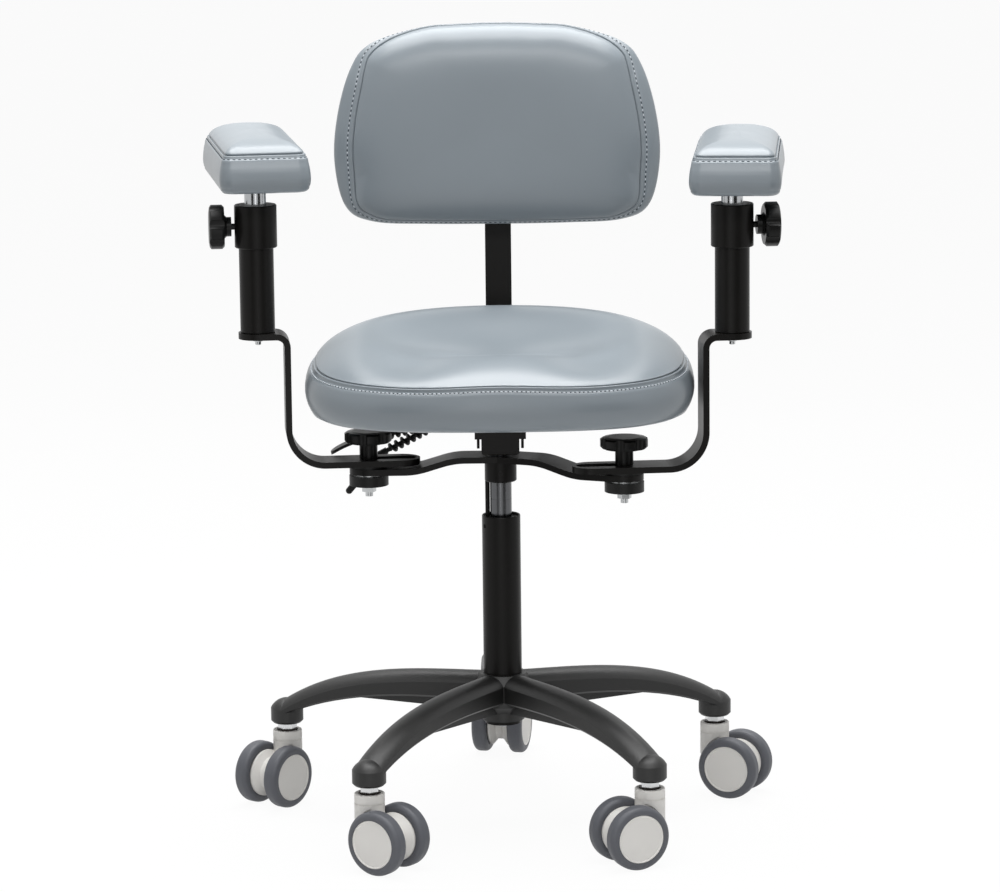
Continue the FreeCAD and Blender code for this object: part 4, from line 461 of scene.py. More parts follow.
def stitch_tree():
    """Node tree that lays capsules along a curve at an even pitch: stitches, or dark capsules of painted
    shade for the needle holes between them.
    """
    tree = bpy.data.node_groups.new("stitch_row", "GeometryNodeTree")
    for name, kind in (("Geometry", "NodeSocketGeometry"), ("Pitch", "NodeSocketFloat"),
                       ("Length", "NodeSocketFloat"), ("Width", "NodeSocketFloat"),
                       ("Finish", "NodeSocketMaterial")):
        tree.interface.new_socket(name, in_out="INPUT", socket_type=kind)
    tree.interface.new_socket("Geometry", in_out="OUTPUT", socket_type="NodeSocketGeometry")
    given = add(tree, "NodeGroupInput").outputs
    line = add(tree, "GeometryNodeResampleCurve", {"mode": "LENGTH"}, Curve=given["Geometry"],
               Length=given["Pitch"])
    spots = add(tree, "GeometryNodeCurveToPoints", {"mode": "EVALUATED"}, Curve=line.outputs["Curve"])
    ball = add(tree, "GeometryNodeMeshUVSphere", Segments=8, Rings=6, Radius=0.5)
    size = add(tree, "ShaderNodeCombineXYZ", X=given["Width"], Y=given["Width"], Z=given["Length"])
    turn = add(tree, "FunctionNodeAlignRotationToVector", {"axis": "Z"},
               Vector=add(tree, "GeometryNodeInputTangent").outputs["Tangent"])
    turned = add(tree, "GeometryNodeCaptureAttribute")
    turned.capture_items.new("ROTATION", "Turn")
    tree.links.new(line.outputs["Curve"], turned.inputs["Geometry"])
    tree.links.new(turn.outputs["Rotation"], turned.inputs["Turn"])
    tree.links.new(turned.outputs["Geometry"], spots.inputs["Curve"])
    rows = add(tree, "GeometryNodeInstanceOnPoints", Points=spots.outputs["Points"],
               Instance=ball.outputs["Mesh"], Rotation=turned.outputs["Turn"], Scale=size.outputs["Vector"])
    solid = add(tree, "GeometryNodeRealizeInstances", Geometry=rows.outputs["Instances"])
    dressed = add(tree, "GeometryNodeSetMaterial", Geometry=solid.outputs["Geometry"],
                  Material=given["Finish"])
    add(tree, "NodeGroupOutput", Geometry=dressed.outputs["Geometry"])
    return tree


def started_along(points, start):
    """Closed line of points that begins a given distance further along."""
    left = start
    step = 0
    while left > (points[step + 1] - points[step]).length:
        left -= (points[step + 1] - points[step]).length
        step += 1
    share = left / (points[step + 1] - points[step]).length
    return [points[step].lerp(points[step + 1], share)] + points[step + 1:] + points[:step + 1]


def row_along(name, points, body, pitch, length, width, finish):
    """Row of stitches, or of painted shade for the needle holes, along a closed line of points, as one piece.
    Sizes in millimetres.
    """
    curve = bpy.data.curves.new(name, "CURVE")
    curve.dimensions = "3D"
    spline = curve.splines.new("POLY")
    spline.points.add(len(points) - 1)
    for spot, point in zip(spline.points, points):
        spot.co = (*point, 1.0)
    spline.use_cyclic_u = True
    guide = bpy.data.objects.new(name + "_line", curve)
    bpy.context.scene.collection.objects.link(guide)
    tree = bpy.data.node_groups.get("stitch_row") or stitch_tree()
    rows = guide.modifiers.new("stitches", "NODES")
    rows.node_group = tree
    values = {"Pitch": pitch * MM, "Length": length * MM, "Width": width * MM, "Finish": finish}
    for item in tree.interface.items_tree:
        if item.in_out == "INPUT" and item.name in values:
            rows[item.identifier] = values[item.name]
    bpy.context.view_layer.update()
    mesh = bpy.data.meshes.new_from_object(guide.evaluated_get(bpy.context.evaluated_depsgraph_get()))
    guide.modifiers.remove(rows)
    bpy.data.objects.remove(guide)
    mesh.name = name
    return link_piece(name, mesh, finish, body)


def make_cushion(name, form, body, sewing):
    """Swell, sew and stitch a cushion that stands for the CAD node of its name.

    The form gives the rings, their distances from the seam and how firmly each is held. The sewing gives
    the pitch of the stitches, how far they lie from the seam, the share of each pitch that is needle hole,
    and how deep the thread is drawn into the cover, mm."""
    rings, distances, held = form
    pitch, line, hole, drawn = sewing
    sizes = bpy.context.scene.chair_sizes
    colours = bpy.context.scene.chair_colours
    rings = swollen(rings, held, sizes.swell)
    mesh = skin(name, rings)
    sew(mesh, rings, distances, line)
    sewn = [row for row, distance in enumerate(distances) if distance is not None]
    stitched = min(sewn, key=lambda row: abs(distances[row] - line))
    count = len(rings[0])
    vertices = mesh.vertices[stitched * count:(stitched + 1) * count]
    high_line = [vertex.co - vertex.normal * drawn * MM for vertex in vertices]
    low_line = [vertex.co - vertex.normal * HOLE_SINK * MM for vertex in vertices]
    vinyl = kept_finish("upholstery_vinyl", upholstery_vinyl, colours.vinyl)
    cushion = link_piece(name + "_cover", mesh, vinyl, body)
    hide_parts(name)
    thread = kept_finish("bonded_thread", bonded_thread, colours.thread)
    row_along(name + "_stitches", high_line, body, pitch, (1 - hole) * pitch, sizes.thread_width, thread)
    # Painted shade: dark capsules half a pitch on from the stitches stand in for the shaded needle holes
    shade = kept_finish("needle_hole_shade", needle_hole_shade, colours.hole)
    holes = started_along(low_line, pitch / 2 * MM)
    row_along(name + "_needle_hole_shades", holes, body, pitch, hole * pitch, sizes.hole_width, shade)


# Distances from the seam at which the band has a ring, mm, and where the rest of the band has them
SEAM_BAND = (0, 0.5, 1, 1.5, 2, 2.5, 3, 3.6, 4.3, 5, 5.6, 6.1, 6.5, 7, 7.5, 8.1, 9, 10.5, 12.5, 15)
BAND_REST = (0.12, 0.26, 0.4, 0.54, 0.68, 0.8, 0.9)
# Distances above the seam, mm, for the first rings of the panel
SEAM_PANEL = (0.5, 1, 1.5, 2.1, 2.8, 3.6, 4.8, 6.5, 9)


def band_rows(height):
    """Distances from the seam for the rings of a band of that height, from the seam down."""
    last = SEAM_BAND[-1]
    return list(SEAM_BAND) + [last + share * (height - last) for share in BAND_REST]


def panel_depths(run, start, span, count):
    """Depths of a panel's rings, from its seam to its middle: close together at the seam, then even."""
    near = [distance / run for distance in SEAM_PANEL]
    return near + [start + span * step / count for step in range(count)]


# Rings of a panel that are sewn down
SEWN_ROWS = 5


# Seat

SEAT_WIDTH, SEAT_DEPTH, SEAT_AHEAD = 501, 384, 209
SEAT_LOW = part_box("seat_cushion")[0].z / MM - 2.5
SEAT_BAND, SEAT_SIDE_RISE, SEAT_SIDE_RUN = 59, 24, 400
SEAT_FRONT_CROWN, SEAT_REAR_CROWN = 21, 42
SEAT_DISH, SEAT_DISH_WIDTH, SEAT_DISH_LENGTH, SEAT_DISH_BACK, SEAT_DISH_FORM = 33, 380, 270, 16, 1.8
CHANNEL_DEPTH, CHANNEL_WIDTH, CHANNEL_SPREAD = 15, 108, 230
CHANNEL_START, CHANNEL_RISE, CHANNEL_REACH = 30, 150, 260
POMMEL_LIFT, POMMEL_WIDTH, POMMEL_REACH = 4, 150, 150
SEAT_FRONT_SQUARE, SEAT_REAR_SQUARE = 2.57, 2.1
SEAT_REAR_ROLL, SEAT_FRONT_ROLL, SEAT_ROLL_START = 6, 2.6, 0.5
SEAT_MIDDLE = SEAT_DEPTH / 2 - SEAT_AHEAD
SEAT_LOW_DRAW, SEAT_FRONT_DRAW, SEAT_SIDE_DRAW = 13, 6, 8
SEAT_END_LIFT, SEAT_END_POWER = 5, 12
# Lower edge of the band: share of the way up to the seam, and inset
SEAT_EDGE = ((0, 22), (0.012, 17.5), (0.035, 14.5))
# Rings of the panel, as panel_depths takes them, and how firmly its foam holds them
SEAT_PANEL, SEAT_PANEL_HOLD = (45, 0.24, 0.76, 40), 0.35
# How far down the band the seam holds it, the share of a pitch that is hole, and how deep the thread is drawn
SEAT_SEWN, SEAT_HOLE, SEAT_DRAWN = 8, 0.34, -0.2
# Hollow below the seat that takes its board
BOARD_LOW, BOARD_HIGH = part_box("seat_board")
BOARD_CORNER, BOARD_ROOM, BOARD_REACH = 90, 1.0, 200


def eased(distance, run):
    """Share from 0 to 1 that starts and ends gently."""
    share = min(1, max(0, distance / run))
    return share * share * (3 - 2 * share)


def seat_outline(angle, inset):
    """Point of the seat's outline at an angle, drawn in by an inset."""
    wide, deep = SEAT_WIDTH / 2 - inset, SEAT_DEPTH / 2 - inset
    across, along = math.cos(angle), math.sin(angle)
    power = SEAT_REAR_SQUARE if along > 0 else SEAT_FRONT_SQUARE
    far = (abs(across / wide) ** power + abs(along / deep) ** power) ** (-1 / power)
    return far * across, SEAT_MIDDLE + far * along


def seat_seam(x, y):
    """Height of the seam, which rises along the sides and lifts over the pommel."""
    from_front = y + SEAT_AHEAD
    lift = POMMEL_LIFT * math.exp(-(2 * x / POMMEL_WIDTH) ** 2) * (1 - eased(from_front, POMMEL_REACH))
    return SEAT_LOW + SEAT_BAND + SEAT_SIDE_RISE * eased(from_front, SEAT_SIDE_RUN) + lift


def seat_draw(angle):
    """How far the seam is drawn in from the band's belly: most at the sides."""
    return SEAT_FRONT_DRAW + SEAT_SIDE_DRAW * math.cos(angle) ** 2


def seat_roll(share, y):
    """Share of the top's height that is reached there: gentle at the front seam, full at the rear one."""
    gentle = 1 - max(0, (share - SEAT_ROLL_START) / (1 - SEAT_ROLL_START)) ** SEAT_FRONT_ROLL
    full = math.sqrt(1 - share ** SEAT_REAR_ROLL)
    return gentle + (full - gentle) * eased(y + SEAT_AHEAD, SEAT_DEPTH)


def seat_top(x, y, share):
    """Height of the top at a share of the way from its middle to its seam."""
    from_front = y + SEAT_AHEAD
    crown = SEAT_FRONT_CROWN + (SEAT_REAR_CROWN - SEAT_FRONT_CROWN) * eased(from_front, SEAT_DEPTH)
    far = (2 * x / SEAT_DISH_WIDTH) ** 2 + (2 * (y - SEAT_DISH_BACK) / SEAT_DISH_LENGTH) ** 2
    dish = SEAT_DISH * max(0, 1 - far) ** SEAT_DISH_FORM
    aside = (abs(x) - CHANNEL_SPREAD / 2) / (CHANNEL_WIDTH / 2)
    start = eased(from_front + CHANNEL_START, CHANNEL_RISE)
    along = start * (1 - eased(from_front - CHANNEL_START, CHANNEL_REACH))
    channel = CHANNEL_DEPTH * math.exp(-aside * aside) * along
    return seat_seam(x, y) + (crown - dish - channel) * seat_roll(share, y)


def board_edge(angle):
    """Point of the hollow for the board, a rounded rectangle, at an angle about the seat's middle."""
    half = BOARD_HIGH.x / MM + BOARD_ROOM
    front, rear = BOARD_LOW.y / MM - BOARD_ROOM, BOARD_HIGH.y / MM + BOARD_ROOM
    core = Vector((half - BOARD_CORNER, (rear - front) / 2 - BOARD_CORNER))
    across, along = math.cos(angle), math.sin(angle)
    near, far = 0.0, half + rear
    for _ in range(24):
        reach = (near + far) / 2
        x, y = abs(reach * across), abs(SEAT_MIDDLE + reach * along - (front + rear) / 2)
        outside = Vector((max(0, x - core.x), max(0, y - core.y))).length
        near, far = (reach, far) if outside < BOARD_CORNER else (near, reach)
    return near * across, SEAT_MIDDLE + near * along


def seat_rings():
    """Rings of the seat from its underside to its top, each with its distance from the seam."""
    angles = [math.tau * step / ROUND_SEAT for step in range(ROUND_SEAT)]
    rings, distances, held = [], [], []

    def ring(spots, distance, firm):
        rings.append([Vector(spot) * MM for spot in spots])
        distances.append(distance)
        held.append(firm)

    def low_at(y):
        share = abs(y - SEAT_MIDDLE) / (SEAT_DEPTH / 2)
        return SEAT_LOW + SEAT_END_LIFT * share ** SEAT_END_POWER

    # Underside: over the board, down the hollow's wall, and out to the band
    edge = [board_edge(angle) for angle in angles]
    roof = BOARD_HIGH.z / MM + BOARD_ROOM
    for share in (0.5, 0.97):
        ring([(x * share, SEAT_MIDDLE + (y - SEAT_MIDDLE) * share, roof) for x, y in edge], None, 1.0)
    for room, height in ((0, roof - 1), (0.3, SEAT_LOW + 0.8), (2, SEAT_LOW)):
        scale = 1 + room / BOARD_REACH
        ring([(x * scale, SEAT_MIDDLE + (y - SEAT_MIDDLE) * scale, height) for x, y in edge], None, 1.0)
    for share, inset in SEAT_EDGE:
        spots = [seat_outline(angle, inset) for angle in angles]
        ring([(x, y, low_at(y) + share * (seat_seam(x, y) - low_at(y))) for x, y in spots], None, 0.8)
    # Band, bulging between its lower edge and the seam
    for distance in reversed(band_rows(SEAT_BAND)):
        part = 1 - distance / SEAT_BAND
        sewn = distance <= SEAM_BAND[-1]
        spots = []
        for angle in angles:
            depth = SEAT_LOW_DRAW if part < 0.5 else seat_draw(angle)
            x, y = seat_outline(angle, depth * (2 * part - 1) ** 2)
            height = seat_seam(x, y) - distance
            if not sewn:
                rest = (distance - SEAM_BAND[-1]) / (SEAT_BAND - SEAM_BAND[-1])
                top = seat_seam(x, y) - SEAM_BAND[-1]
                height = top - rest * (top - low_at(y))
            spots.append((x, y, height))
        ring(spots, distance if sewn else None, 1.0 if distance < SEAT_SEWN else 0.0)
    # Top panel
    for number, depth in enumerate(panel_depths(*SEAT_PANEL)):
        share = 1 - depth * depth
        spots = []
        for angle in angles:
            x, y = seat_outline(angle, seat_draw(angle))
            x, y = x * share, SEAT_MIDDLE + (y - SEAT_MIDDLE) * share
            spots.append((x, y, seat_top(x, y, share)))
        sewn = number < len(SEAM_PANEL)
        firm = 1.0 if number < SEWN_ROWS else SEAT_PANEL_HOLD
        ring(spots, -SEAM_PANEL[number] if sewn else None, firm)
    return rings, distances, held


# Backrest

BACK_WIDTH, BACK_HEIGHT = 434, 267
BACK_START, BACK_BAND, BACK_CROWN = 17.6, 34, 15
BACK_RECLINE = math.radians(4)
BACK_PLACE = Vector((0, 251.73, 886.3))
BACK_ROLL = 6
BACK_EVENED = 14
BACK_LAST_PART = 0.1
# How far the seam is drawn in at the rear, the sides, the foot and the top, where it also lies further back
BACK_REAR_DRAW, BACK_SIDE_DRAW, BACK_FOOT_DRAW, BACK_TOP_DRAW, BACK_TOP_SET = 14, 27, 6, 2, 22
# Right half of the outline from its foot to its top, as shares of half the width and half the height
BACK_SHARES = ((0, -1), (0.42, -0.995), (0.77, -0.965), (0.935, -0.81), (1, -0.36), (0.975, 0.12),
               (0.89, 0.57), (0.77, 0.80), (0.47, 0.96), (0.24, 0.99))
# Rear face, as shares of the outline, and its edge: inset and depth
BACK_REAR = (0.35, 0.6, 0.78, 0.86)
BACK_EDGE = ((16.5, 0.2), (14, 1.2), (12, 2.6))
# Rings of the panel and the hold of its foam, the seam's hold on the band, and the sewing, as on the seat
BACK_PANEL, BACK_PANEL_HOLD = (46, 0.25, 0.74, 30), 0.2
BACK_SEWN, BACK_HOLE, BACK_DRAWN = 10, 0.5, 0.5


def smooth_loop(points, count):
    """Closed smooth line through points, as evenly spaced points."""
    fine = []
    total = len(points)
    for number in range(total):
        a, b, c, d = (Vector(points[(number + step) % total]) for step in (-1, 0, 1, 2))
        for step in range(24):
            t = step / 24
            fine.append(0.5 * (2 * b + (c - a) * t + (2 * a - 5 * b + 4 * c - d) * t * t
                               + (3 * b - a - 3 * c + d) * t ** 3))
    runs = [(fine[(step + 1) % len(fine)] - fine[step]).length for step in range(len(fine))]
    along = np.concatenate([[0], np.cumsum(runs)])
    wanted = np.arange(count) / count * along[-1]
    loop = np.array([tuple(point) for point in fine + fine[:1]])
    return [Vector((np.interp(at, along, loop[:, 0]), np.interp(at, along, loop[:, 1]))) for at in wanted]


def inward_ways(loop):
    """For each point of a closed line, the way that leads inwards."""
    runs = [(loop[(step + 1) % len(loop)] - loop[step - 1]).normalized() for step in range(len(loop))]
    return [Vector((-run.y, run.x)) for run in runs]


def evened(numbers, reach):
    """Numbers round a closed line, each averaged over its neighbours."""
    wide = np.concatenate([numbers[-reach:], numbers, numbers[:reach]])
    return np.convolve(wide, np.ones(2 * reach + 1) / (2 * reach + 1), "valid")


def band_parts(distance, draws, bands):
    """Part of the band's depth, 1 at the seam, at a distance along its side from the seam."""
    parts = np.linspace(1, BACK_LAST_PART, 60)
    reached = []
    for draw, band in zip(draws, bands):
        insets = np.where(parts < 0.5, BACK_REAR_DRAW, draw) * (2 * parts - 1) ** 2
        runs = np.hypot(np.diff(insets), np.diff(parts * band))
        reached.append(np.interp(distance, np.concatenate([[0], np.cumsum(runs)]), parts))
    return np.array(reached)


def on_back(x, z, depth):
    """Point of the backrest in the frame: across, up the bar and in front of the bar's face, mm."""
    turned = Matrix.Rotation(-BACK_RECLINE, 3, "X") @ Vector((x, -depth, z))
    return (turned + BACK_PLACE) * MM


def backrest_rings():
    """Rings of the backrest from its rear to its front."""
    half, tall = BACK_WIDTH / 2, BACK_HEIGHT / 2
    right = [(half * x, tall * z) for x, z in BACK_SHARES]
    left = [(-x, z) for x, z in reversed(right[1:])]
    loop = smooth_loop(right + [(0, tall)] + left, ROUND_BACK)
    ways = inward_ways(loop)
    end_draws = [BACK_FOOT_DRAW if way.y > 0 else BACK_TOP_DRAW for way in ways]
    draws = [BACK_SIDE_DRAW * way.x ** 2 + end * way.y ** 2 for way, end in zip(ways, end_draws)]
    draws = evened(draws, BACK_EVENED)
    bands = BACK_BAND - evened([BACK_TOP_SET * max(0, -way.y) ** 2 for way in ways], BACK_EVENED)
    rings, distances, held = [], [], []

    def ring(line, depths, distance, firm):
        rings.append([on_back(point.x, point.y, depth) for point, depth in zip(line, depths)])
        distances.append(distance)
        held.append(firm)

    def band_ring(parts):
        draw_there = np.where(parts < 0.5, BACK_REAR_DRAW, draws)
        insets = draw_there * (2 * parts - 1) ** 2
        line = [point + way * inset for point, way, inset in zip(loop, ways, insets)]
        return line, BACK_START + parts * bands

    for share in BACK_REAR:
        ring([point * share for point in loop], [BACK_START] * ROUND_BACK, None, 1.0)
    for inset, depth in BACK_EDGE:
        line = [point + way * inset for point, way in zip(loop, ways)]
        ring(line, [BACK_START + depth] * ROUND_BACK, None, 0.8)
    sewn_parts = band_parts(SEAM_BAND[-1], draws, bands)
    for share in reversed(BAND_REST):
        ring(*band_ring(sewn_parts + share * (BACK_LAST_PART - sewn_parts)), None, 0.0)
    for distance in reversed(SEAM_BAND):
        firm = 1.0 if distance < BACK_SEWN else 0.0
        ring(*band_ring(band_parts(distance, draws, bands)), distance, firm)
    seam = [point + way * draw for point, way, draw in zip(loop, ways, draws)]
    crowns = BACK_BAND + BACK_CROWN - bands
    for number, depth in enumerate(panel_depths(*BACK_PANEL)):
        share = 1 - depth * depth
        sewn = number < len(SEAM_PANEL)
        depths = BACK_START + bands + crowns * math.sqrt(1 - share ** BACK_ROLL)
        firm = 1.0 if number < SEWN_ROWS else BACK_PANEL_HOLD
        ring([point * share for point in seam], depths, -SEAM_PANEL[number] if sewn else None, firm)
    return rings, distances, held


# Armrest pads

PAD_HALF, PAD_AHEAD, PAD_BEHIND, PAD_ASIDE = 58, 96, 206, 6
PAD_FRONT_CORNER, PAD_REAR_CORNER = 16, 36
PAD_TURN = {"right": 8.5, "left": -4.8}
# Side of a pad from its seam down to its underside: inset and height, mm, with a hem near the lower edge
PAD_SIDE = ((8, 48.8), (6.9, 48.4), (5.9, 47.6), (5.0, 46.2), (4.2, 44.2), (3.3, 41.0), (2.4, 37.2),
            (1.5, 32.8), (0.8, 28), (0.3, 23), (0, 18), (0.2, 14), (0.7, 10.5), (1.2, 8.4), (2.0, 7.6),
            (1.8, 6.6), (2.3, 4.8), (3.8, 2.5), (6, 0.9), (9, 0.1))
# Panel of a pad from its seam up to its middle
PAD_PANEL = ((8, 48.8), (8.4, 50.4), (9.4, 52.6), (11.4, 55), (14.6, 57.6), (19.5, 60.2), (26, 62.5),
             (35, 64.5), (45, 65.6), (56, 66))
# At the front of a pad the insets are larger by this factor
PAD_FRONT_DRAW = 1.6
# Insets of the underside's rings, and the step and number of the rings away from the seam on side and panel
PAD_UNDER = (50, 38, 26, 18, 13)
PAD_SIDE_STEP, PAD_SIDE_RINGS, PAD_PANEL_STEP, PAD_PANEL_RINGS = 1.6, 27, 2.4, 18
# Height of the hem, and distances from the seam within which it holds the side and the panel
PAD_HEM, PAD_SEWN, PAD_PANEL_SEWN = 10, 8, 3
PAD_HOLE, PAD_DRAWN = 0.64, 0.95


def pad_outline(inset):
    """Pad's outline with straight sides and round corners, drawn in by an inset, even on each run."""
    half = PAD_HALF - inset
    front, rear = -PAD_AHEAD + PAD_FRONT_DRAW * inset, PAD_BEHIND - inset
    ahead = min(max(PAD_FRONT_CORNER - inset / 2, 3), half - 0.5)
    behind = min(max(PAD_REAR_CORNER - inset / 2, 3), half - 0.5)
    runs = (((half - behind, rear - behind), behind, 0), ((-half + behind, rear - behind), behind, 90),
            ((-half + ahead, front + ahead), ahead, 180), ((half - ahead, front + ahead), ahead, 270))
    on_arc, on_side, on_end = 20, 70, 24
    points = []
    for number, ((x, y), corner, start) in enumerate(runs):
        for step in range(on_arc):
            turn = math.radians(start + 90 * step / on_arc)
            points.append(Vector((x + corner * math.cos(turn), y + corner * math.sin(turn))))
        turn = math.radians(start + 90)
        way = Vector((math.cos(turn), math.sin(turn)))
        after, after_corner, _ = runs[(number + 1) % 4]
        first, last = Vector((x, y)) + way * corner, Vector(after) + way * after_corner
        count = on_end if number % 2 == 0 else on_side
        for step in range(count):
            points.append(first.lerp(last, step / count))
    return points


def along_line(line, distances):
    """Points of a line, given as pairs, at distances from its start."""
    pairs = np.array(line)
    runs = np.linalg.norm(np.diff(pairs, axis=0), axis=1)
    reach = np.concatenate([[0], np.cumsum(runs)])
    return [(np.interp(at, reach, pairs[:, 0]), np.interp(at, reach, pairs[:, 1])) for at in distances]


def pad_rings(side):
    """Rings of an armrest pad from its underside to its top."""
    post_low, post_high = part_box(side + "_post_rod")
    post = (post_low + post_high) / 2
    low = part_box(side + "_pad_cushion")[0].z
    turn = Matrix.Rotation(math.radians(PAD_TURN[side]), 3, "Z")
    rings, distances, held = [], [], []

    def ring(inset, height, distance, firm):
        spots = [turn @ Vector((point.x + PAD_ASIDE, point.y, 0)) * MM for point in pad_outline(inset)]
        rings.append([Vector((post.x, post.y, low + height * MM)) + spot for spot in spots])
        distances.append(distance)
        held.append(firm)

    for inset in PAD_UNDER:
        ring(inset, 0, None, 1.0)
    rest = [SEAM_BAND[-1] + step * PAD_SIDE_STEP for step in range(1, PAD_SIDE_RINGS + 1)]
    for inset, height in reversed(along_line(PAD_SIDE, rest)):
        ring(inset, height, None, 0.8 if height < PAD_HEM else 0.0)
    for distance, (inset, height) in reversed(list(zip(SEAM_BAND, along_line(PAD_SIDE, SEAM_BAND)))):
        ring(inset, height, distance, 1.0 if distance < PAD_SEWN else 0.0)
    for distance, (inset, height) in zip(SEAM_PANEL, along_line(PAD_PANEL, SEAM_PANEL)):
        ring(inset, height, -distance, 1.0 if distance < PAD_PANEL_SEWN else 0.4)
    rest = [SEAM_PANEL[-1] + step * PAD_PANEL_STEP for step in range(1, PAD_PANEL_RINGS + 1)]
    for inset, height in along_line(PAD_PANEL, rest):
        ring(inset, height, None, 0.2)
    return rings, distances, held


# Screw ends under the armrest posts

SCREW_RADIUS, SCREW_PITCH, SCREW_DEPTH, SCREW_TURNS, SCREW_SIDES = 4.0, 1.25, 0.35, 3, 24
# How far the screw reaches up into the tab, and how much narrower its tip is, mm
SCREW_ROOT, SCREW_TIP = 0.5, 0.9
# Height up to which a caster's stem is coloured dark above the caster's neck, mm
STEM_COLLAR = 2.4


def screw_end(side):
    """Threaded end of a post's screw, which stands out below the arm's tab."""
    low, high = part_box(side + "_post_screw")
    middle = Vector(((low.x + high.x) / 2, (low.y + high.y) / 2, low.z))
    profile = [(SCREW_RADIUS, SCREW_ROOT)]
    for turn in range(SCREW_TURNS):
        profile.append((SCREW_RADIUS - SCREW_DEPTH, -(turn + 0.5) * SCREW_PITCH))
        profile.append((SCREW_RADIUS, -(turn + 1) * SCREW_PITCH))
    profile.append((SCREW_RADIUS - SCREW_TIP, -(SCREW_TURNS + 0.7) * SCREW_PITCH))
    angles = [math.tau * step / SCREW_SIDES for step in range(SCREW_SIDES)]
    ways = [(math.cos(angle), math.sin(angle)) for angle in angles]
    rings = [[middle + Vector((x * radius, y * radius, height)) * MM for x, y in ways]
             for radius, height in reversed(profile)]
    return skin(side + "_post_screw_end", rings)


# Operators, one for each piece or group of like pieces

class CHAIR_OT_seat(bpy.types.Operator):
    """Make the seat's cover with its dish, thigh channels, pommel and stitched seam."""
    bl_idname = "chair.seat"
    bl_label = "Seat"

    def execute(self, context):
        sizes = context.scene.chair_sizes
        sewing = (sizes.seat_pitch, sizes.seat_line, SEAT_HOLE, SEAT_DRAWN)
        make_cushion("seat_cushion", seat_rings(), "seat", sewing)
        return {"FINISHED"}


class CHAIR_OT_backrest(bpy.types.Operator):
    """Make the backrest's cover with its crowned front panel and stitched band."""
    bl_idname = "chair.backrest"
    bl_label = "Backrest"

    def execute(self, context):
        sizes = context.scene.chair_sizes
        sewing = (sizes.back_pitch, sizes.back_line, BACK_HOLE, BACK_DRAWN)
        make_cushion("backrest_cushion", backrest_rings(), "backrest", sewing)
        return {"FINISHED"}


class CHAIR_OT_pads(bpy.types.Operator):
    """Make both armrest pads."""
    bl_idname = "chair.pads"
    bl_label = "Armrest pads"

    def execute(self, context):
        sizes = context.scene.chair_sizes
        sewing = (sizes.pad_pitch, sizes.pad_line, PAD_HOLE, PAD_DRAWN)
        for side in SIDES:
            make_cushion(side + "_pad_cushion", pad_rings(side), side + "_pad", sewing)
        return {"FINISHED"}


class CHAIR_OT_frame(bpy.types.Operator):
    """Give the black frame, the column and the fasteners their finishes."""
    bl_idname = "chair.frame"
    bl_label = "Frame and column"

    def execute(self, context):
        nodes = ["stand_tube", "arm_carrier", "guide_rod", "tilt_housing", "back_bar", "back_bracket",
                 "frame_screws", "backrest_board"]
        for side in SIDES:
            nodes += [side + "_arm_bar", side + "_post_tube"]
        coat = powder_coat(context.scene.chair_colours.black)
        for node in nodes:
            dress(node, coat)
        dress("gas_cylinder", turned_steel("hard_chromed_steel", 0.22, "#5E5F61"))
        ground = turned_steel("ground_steel", 0.16, "#B4B6B8")
        for node in ("piston_rod", "thrust_bearing", "column_clip", "back_pin", "right_post_rod",
                     "left_post_rod", "right_pad_plate", "left_pad_plate"):
            dress(node, ground)
        plated = turned_steel("zinc_plated_steel", 0.28, "#C3C5C6")
        for node in ("pivot_bolts", "right_post_screw", "left_post_screw"):
            dress(node, plated)
        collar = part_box("front_right_caster_housing")[1].z + STEM_COLLAR * MM
        dress("caster_stems", stem_steel(collar))
        dress("star_base", moulded_black("glass_filled_nylon", 0.45, 0.5))
        dress("seat_board", stained_plywood())
        for side in SIDES:
            link_piece(side + "_post_screw_end", screw_end(side), plated, side + "_arm")
        return {"FINISHED"}


class CHAIR_OT_controls(bpy.types.Operator):
    """Give the knobs, levers and clamping discs their moulded finishes."""
    bl_idname = "chair.controls"
    bl_label = "Knobs and levers"

    def execute(self, context):
        gloss = moulded_black("phenolic_black", 0.3, 0.14)
        satin = satin_nylon()
        for side in SIDES:
            dress(side + "_pivot_knob", gloss)
            dress(side + "_post_knob", gloss)
            dress(side + "_slot_bush", satin)
        for node in ("guide_bush", "pivot_discs", "friction_washers", "lift_lever", "tilt_lever",
                     "lift_lever_spring", "tilt_lever_spring"):
            dress(node, satin)
        return {"FINISHED"}


class CHAIR_OT_casters(bpy.types.Operator):
    """Give the casters their nylon and tread."""
    bl_idname = "chair.casters"
    bl_label = "Casters"

    def execute(self, context):
        colours = context.scene.chair_colours
        grey = caster_nylon(colours.caster)
        tread = soft_tread(colours.tread)
        for name in CASTERS:
            dress(name + "_caster_housing", grey)
            dress(name + "_caster_wheels", grey)
            dress(name + "_caster_tyres", tread)
        return {"FINISHED"}


# Stage, in metres

FLOOR_REACH, FLOOR_SHOWN, WORLD_LIT = 40, 0.95, 0.18
# Opposite corners of dark cards that the covers and the metal mirror, behind the chair and in front of it
CARDS = {
    "back_card": ((-0.33, 2.6, 1.0), (0.33, 2.6, 1.65)),
    "front_right_card": ((-0.7, -1.6, 0.02), (-1.3, -1.3, 0.9)),
    "front_left_card": ((0.6, -1.6, 0.02), (1.5, -1.1, 0.9)),
}
# Soft boxes: place, the point that each is turned to, width, height and watts
LAMPS = {
    "front_box": ((0.1, -3.0, 2.6), (0, 0, 0.65), 2.8, 0.5, 32),
    "overhead": ((0, 0.4, 3.2), (0, 0.4, 0), 2.8, 3.2, 178),
    "front_strip": ((-0.1, -1.6, 0.45), (0, 0, 0.45), 0.1, 0.8, 0.8),
}


